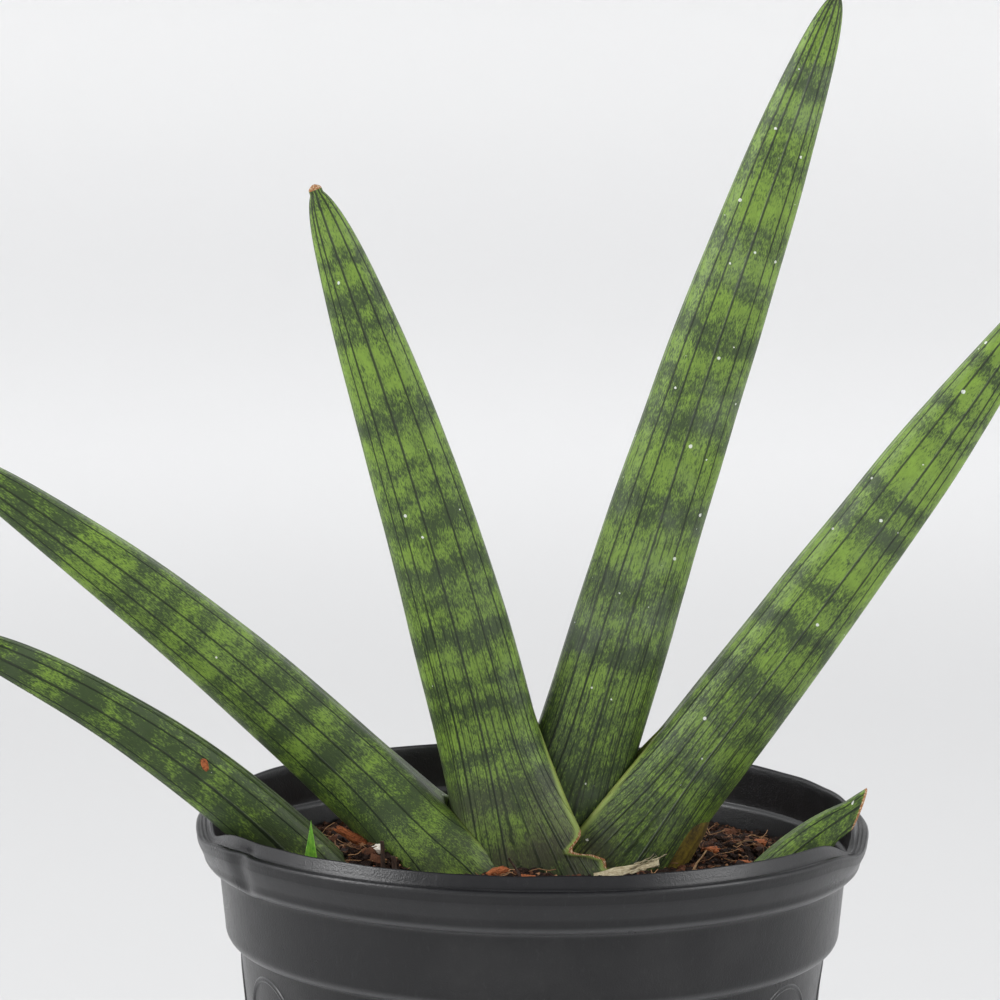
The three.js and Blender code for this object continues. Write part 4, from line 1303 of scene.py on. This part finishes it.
def strip_rings(root, tip, strip, width, seed):
    """Rings of one strip, with the share of its width and length at every point."""
    forward = (tip - root).normalized()
    side = Vector(strip.side).normalized()
    normal = side.cross(forward).normalized()
    rings, across, along = [], [], []
    for i in range(strip.steps + 1):
        share = i / strip.steps
        shake = strip.wobble * noise.noise((share * 5, seed, 0.4))
        centre = root.lerp(tip, share) + normal * (strip.bow * math.sin(math.pi * share) + shake)
        centre += side * strip.wobble * noise.noise((share * 4, seed, 6.2))
        taper = max(strip.pointed, (1 - share ** 2.2) * (0.75 + 0.25 * math.sin(math.pi * share)))
        ring = []
        for j in range(16):
            angle = 2 * math.pi * j / 16
            u = math.cos(angle) * width / 2 * taper
            lift = strip.fold * abs(u) + math.sin(angle) * strip.thickness / 2 * (0.4 + 0.6 * taper)
            ring.append(centre + side * u + normal * lift)
            across.append(math.cos(angle))
            along.append(share)
        rings.append(ring)
    return rings, across, along


def strip_mesh(strip):
    low, high = box_in_mm(strip.node)
    ends = [Vector([mix(low[i], high[i], share[i]) for i in range(3)]) for share in (strip.start, strip.end)]
    runs = [(ends[0], ends[1], strip.width)]
    if strip.node == "dry_sheath":
        picker = random.Random(5)
        forward = (ends[1] - ends[0]).normalized()
        for _ in range(9):  # loose threads at the torn end
            begin = ends[0].lerp(ends[1], picker.uniform(0.55, 0.9))
            begin += Vector(strip.side) * picker.uniform(-1.0, 1.0)
            reach = forward * picker.uniform(3, 6)
            reach += Vector((0, picker.uniform(-1, 1), picker.uniform(-0.6, 1.2)))
            runs.append((begin, begin + reach, picker.uniform(0.25, 0.6)))
    points, faces, across, along = [], [], [], []
    for number, (root, tip, width) in enumerate(runs):
        rings, shares, lengths = strip_rings(root, tip, strip, width, number * 3.7 + len(strip.node))
        if number == 0 and strip.pointed < 0.1:
            rings[-1] = [tip.lerp(p, 0.4) for p in rings[-1]]
        more, skin = join_rings(rings)
        base = len(points)
        points += more
        faces += [tuple(base + index for index in face) for face in skin]
        across += shares + [0.0, 0.0]
        along += lengths + [0.0, 1.0]
    mesh = make_mesh(strip.node, points, faces, floats={"across": across, "along": along})
    turn_outwards(mesh)
    return mesh


def turn_outwards(mesh):
    """Makes every closed skin's faces look outwards."""
    work = bmesh.new()
    work.from_mesh(mesh)
    bmesh.ops.recalc_face_normals(work, faces=work.faces)
    work.to_mesh(mesh)
    work.free()


def streaked_material(name, base, streak, count, roughness=0.65, specular=0.3):
    """Plant stuff with streaks along it; reads the across and along attributes."""
    material, w, shader = new_material(name, roughness=roughness, specular=specular)
    across, along = w.attribute("across"), w.attribute("along")
    lines = w.noise(w.combine(w.math("MULTIPLY", across, count), w.math("MULTIPLY", along, 3.0)), 1.0, 3.0, 0.7)
    grain = w.noise(object_position(w), 1.3, 3.0, 0.6)
    mask = w.step(w.weighted((lines, 0.65), (grain, 0.35)), 0.36, 0.66)
    w.feed(shader.inputs["Base Color"], w.colour(mask, tuple(streak), tuple(base)))
    add_bump(w, shader, w.weighted((lines, 1.0), (grain, 0.5)), 0.6, 0.25)
    return material


def mineral_material(name, base, dark, scale, roughness, pitted):
    """Bark or perlite: blotchy, grained and a little pitted."""
    material, w, shader = new_material(name, roughness=roughness, specular=0.25)
    place = object_position(w)
    grain = w.noise(w.scaled(place, (1.0, 2.2, 2.2)), scale, 4.0, 0.7)
    w.feed(shader.inputs["Base Color"], w.colour(w.step(grain, 0.30, 0.62), tuple(dark), tuple(base)))
    add_bump(w, shader, w.noise(place, scale * 2.0, 3.0, 0.7), pitted, 0.35)
    return material


OLD_BASE = Leaf("old_leaf_base", 14.3, -0.6, 37.4, -1.5, 1, 38, 25, 18, 9, 0, -1, 5, 0.12)


class PLANT_OT_litter(bpy.types.Operator):
    """Builds the chips, grains, sticks, fibres, the sprout and the dead leaf remains"""

    bl_idname = "plant.build_litter"
    bl_label = "Litter"

    def execute(self, context):
        colours = context.scene.plant_colours
        materials = {
            "bark": mineral_material("Bark", colours.bark, (0.10, 0.030, 0.012), 1.1, 0.85, 0.9),
            "perlite": mineral_material("Perlite", colours.perlite, (0.46, 0.38, 0.28), 0.9, 0.8, 0.8),
            "sprout": streaked_material("Sprout", colours.sprout, (0.07, 0.26, 0.02), 7.0, 0.42, 0.45),
            "sheath": streaked_material("Sheath", colours.straw, (0.26, 0.20, 0.11), 7.0),
            "stick": streaked_material("Stick", (0.060, 0.030, 0.018), (0.012, 0.007, 0.005), 3.0),
            "fibre": streaked_material("Fibre", (0.46, 0.30, 0.15), (0.14, 0.07, 0.03), 2.0),
            "old_leaf": streaked_material("Old leaf", colours.old_leaf, (0.05, 0.035, 0.012), 11.0, 0.55, 0.4),
        }
        for kinds, shape in ((LUMPS, lump_mesh), (STRIPS, strip_mesh)):
            for bit in kinds:
                add_piece(bit.node + "_shape", shape(bit), materials[bit.slot], [bit.node])
        old = leaf_mesh(OLD_BASE, rings=60)
        add_piece("old_leaf_base_shape", old, materials["old_leaf"], [OLD_BASE.name])
        return {"FINISHED"}


# ---- operators ---------------------------------------------------------------------


class PLANT_OT_pot(bpy.types.Operator):
    """Builds the nursery pot and the raised arches on its wall"""

    bl_idname = "plant.build_pot"
    bl_label = "Pot"

    def execute(self, context):
        pot = pot_shape()
        plastic = pot_material()
        add_piece("nursery_pot", pot_mesh(pot), plastic, ["pot"])
        values = {"Count": 12, "First turn": math.radians(-93), "Rib radius": 0.0009}
        ribs = grow_on(arch_outline(pot), rib_tree(plastic), values, "pot_arches")
        add_piece("pot_arches", ribs, plastic)
        return {"FINISHED"}


class PLANT_OT_soil(bpy.types.Operator):
    """Builds the soil with its crumbs, flakes and coir fibres"""

    bl_idname = "plant.build_soil"
    bl_label = "Soil"

    def execute(self, context):
        pot = pot_shape()
        sizes = context.scene.plant_sizes
        add_piece("soil_body", soil_mesh(pot), earth_material("Peat", 0.10), ["soil"])
        sheet = scatter_mesh(pot, 3.0, soil_radius(pot) - 0.8)
        earth = earth_material("Crumbs", 0.12, toned=True)
        crumbs = crumb_tree(earth)
        for name, density, size, flatness, length, seed in (
            ("soil_clods", 60000.0, sizes.crumb * 1.45, 0.8, 1.1, 10),
            ("soil_crumbs", 480000.0, sizes.crumb * 0.85, 0.8, 1.2, 11),
            ("soil_flakes", 60000.0, sizes.crumb * 1.2, 0.3, 2.0, 12),
            ("soil_grains", 520000.0, sizes.crumb * 0.5, 0.8, 1.1, 13),
        ):
            values = {"Density": density, "Size": size, "Flatness": flatness, "Length": length, "Seed": seed}
            add_piece(name, grow_on(sheet, crumbs, values, name), earth)
        coir = fibre_material()
        fibres = fibre_tree(coir)
        sheet = scatter_mesh(pot, 3.0, soil_radius(pot) - 8.0)
        values = {"Density": 62000.0, "Length": sizes.fibre_length, "Thickness": 0.00010, "Seed": 21}
        add_piece("coir_fibres", grow_on(sheet, fibres, values, "coir_fibres"), coir)
        return {"FINISHED"}


class PLANT_OT_leaves(bpy.types.Operator):
    """Builds the fan of banded leaves and the two offshoots"""

    bl_idname = "plant.build_leaves"
    bl_label = "Leaves"

    def execute(self, context):
        pot = pot_shape()
        for leaf in (LOW, STUB):
            lean_over_lip(leaf, pot)
        for leaf in (TALL, RIGHT, CENTRE, LEFT, LOW, STUB):
            add_piece(leaf.name + "_skin", leaf_mesh(leaf), leaf_material(leaf), [leaf.name])
        return {"FINISHED"}


# ---- stage -------------------------------------------------------------------------

CAMERA_PLACE = (-0.0079, -1.0, 0.37756)
CAMERA_PITCH = 7.81  # degrees below level
LENS = 149.3
LIT_PLACE = Vector((0.0, 0.0, 0.2))
FLOOR_RADIUS, COVE, WALL_TOP = 3.4, 1.2, 1.5  # in metres, like the camera's and the lights' places


def backdrop_mesh():
    """A round floor that curves up into a low wall, pale all over."""
    flat = FLOOR_RADIUS - COVE
    line = [(0.8, 0.0), (flat, 0.0)]
    for i in range(1, 13):
        angle = i / 12 * math.pi / 2
        line.append((flat + COVE * math.sin(angle), COVE * (1 - math.cos(angle))))
    line.append((FLOOR_RADIUS, WALL_TOP))
    sides = 96
    points = [(0.0, 0.0, 0.0)]
    for radius, z in line:
        points += [(x, y, z / MM) for x, y in round_ring(radius / MM, sides)]
    faces = fan_faces(0, 1, sides) + ring_faces(len(line), sides, first=1, reverse=True)
    return make_mesh("backdrop", points, faces)


def add_light(name, place, size, power):
    """A soft rectangular light that faces the plant."""
    data = bpy.data.lights.new(name, "AREA")
    data.shape = "RECTANGLE"
    data.size, data.size_y = size
    data.energy = power
    light = bpy.data.objects.new(name, data)
    light.location = place
    light.rotation_mode = "QUATERNION"
    light.visible_camera = False
    light.rotation_quaternion = (LIT_PLACE - Vector(place)).to_track_quat("-Z", "Y")
    bpy.context.scene.collection.objects.link(light)
    return light


class PLANT_OT_stage(bpy.types.Operator):
    """Builds the pale floor, the soft lights and the camera"""

    bl_idname = "plant.build_stage"
    bl_label = "Stage"

    def execute(self, context):
        scene = context.scene
        floor = bpy.data.objects.new("backdrop", backdrop_mesh())
        scene.collection.objects.link(floor)
        material, w, shader = new_material("Pale paper", roughness=0.9, specular=0.1)
        # Painted light and shade: the floor is painted darker near the plant and paler away from it, and the wall
        # gets a painted glow from emission that stands in for light falling on it.
        place = w.node("ShaderNodeTexCoord").outputs["Object"]
        height = w.separate(place)[2]
        far = w.step(w.vector_math("LENGTH", w.scaled(place, (1.0, 1.0, 0.0))), 0.9, 2.4)
        # Painted shade near the plant and painted light further out, in the floor's colour.
        w.feed(shader.inputs["Base Color"], w.colour(far, (0.585, 0.585, 0.585), (0.85, 0.85, 0.85)))
        w.feed(shader.inputs["Emission Color"], (1.0, 1.0, 1.0))
        painted_wall_glow = w.math("MULTIPLY", w.step(height, 0.04, 0.30), 0.14)
        w.feed(shader.inputs["Emission Strength"], w.math("MULTIPLY_ADD", far, 0.05, painted_wall_glow))
        floor.data.materials.append(material)
        world = bpy.data.worlds.new("Studio air")
        world.use_nodes = True
        air = Wiring(world.node_tree)
        # The room behind and above the camera is dim, so the pot's front stays black.
        direction = air.node("ShaderNodeTexCoord").outputs["Generated"]
        behind_camera = air.vector_math("DOT_PRODUCT", direction, (0.0, -0.80, 0.60))
        dim = air.step(behind_camera, 0.40, 0.80)
        background = world.node_tree.nodes["Background"]
        air.feed(background.inputs["Color"], air.colour(dim, (0.97, 0.98, 1.0), (0.08, 0.08, 0.085)))
        background.inputs["Strength"].default_value = 1.2
        scene.world = world
        add_light("key softbox", (-2.0, -0.7, 1.6), (1.0, 1.2), 44)
        add_light("fill softbox", (2.0, -0.7, 1.5), (1.0, 1.2), 26)
        add_light("back softbox", (0.3, 1.7, 1.9), (1.6, 1.0), 9)
        camera = bpy.data.objects.new("camera", bpy.data.cameras.new("camera"))
        camera.data.lens = LENS
        camera.data.sensor_width = 36.0
        camera.data.clip_start, camera.data.clip_end = 0.05, 20.0
        camera.location = CAMERA_PLACE
        camera.rotation_euler = (math.radians(90 - CAMERA_PITCH), 0.0, 0.0)
        scene.collection.objects.link(camera)
        scene.camera = camera
        scene.view_settings.view_transform = "Standard"
        return {"FINISHED"}


class PLANT_PT_panel(bpy.types.Panel):
    """Lists the plant's parts in the sidebar"""

    bl_idname = "PLANT_PT_panel"
    bl_label = "Potted snake plant"
    bl_space_type = "VIEW_3D"
    bl_region_type = "UI"
    bl_category = "Snake plant"

    def draw(self, context):
        layout = self.layout
        for group in (context.scene.plant_sizes, context.scene.plant_colours):
            for key in group.__annotations__:
                layout.prop(group, key)
        for operator in OPERATORS:
            layout.operator(operator.bl_idname)


OPERATORS = (PLANT_OT_pot, PLANT_OT_soil, PLANT_OT_leaves, PLANT_OT_litter, PLANT_OT_stage)
CLASSES = (PlantSizes, PlantColours, *OPERATORS, PLANT_PT_panel)


def register():
    for item in CLASSES:
        bpy.utils.register_class(item)
    bpy.types.Scene.plant_sizes = bpy.props.PointerProperty(type=PlantSizes)
    bpy.types.Scene.plant_colours = bpy.props.PointerProperty(type=PlantColours)


def unregister():
    del bpy.types.Scene.plant_colours
    del bpy.types.Scene.plant_sizes
    for item in reversed(CLASSES):
        bpy.utils.unregister_class(item)


def main():
    register()
    bpy.ops.plant.build_pot()
    bpy.ops.plant.build_soil()
    bpy.ops.plant.build_leaves()
    bpy.ops.plant.build_litter()
    bpy.ops.plant.build_stage()


if __name__ == "__main__":
    main()
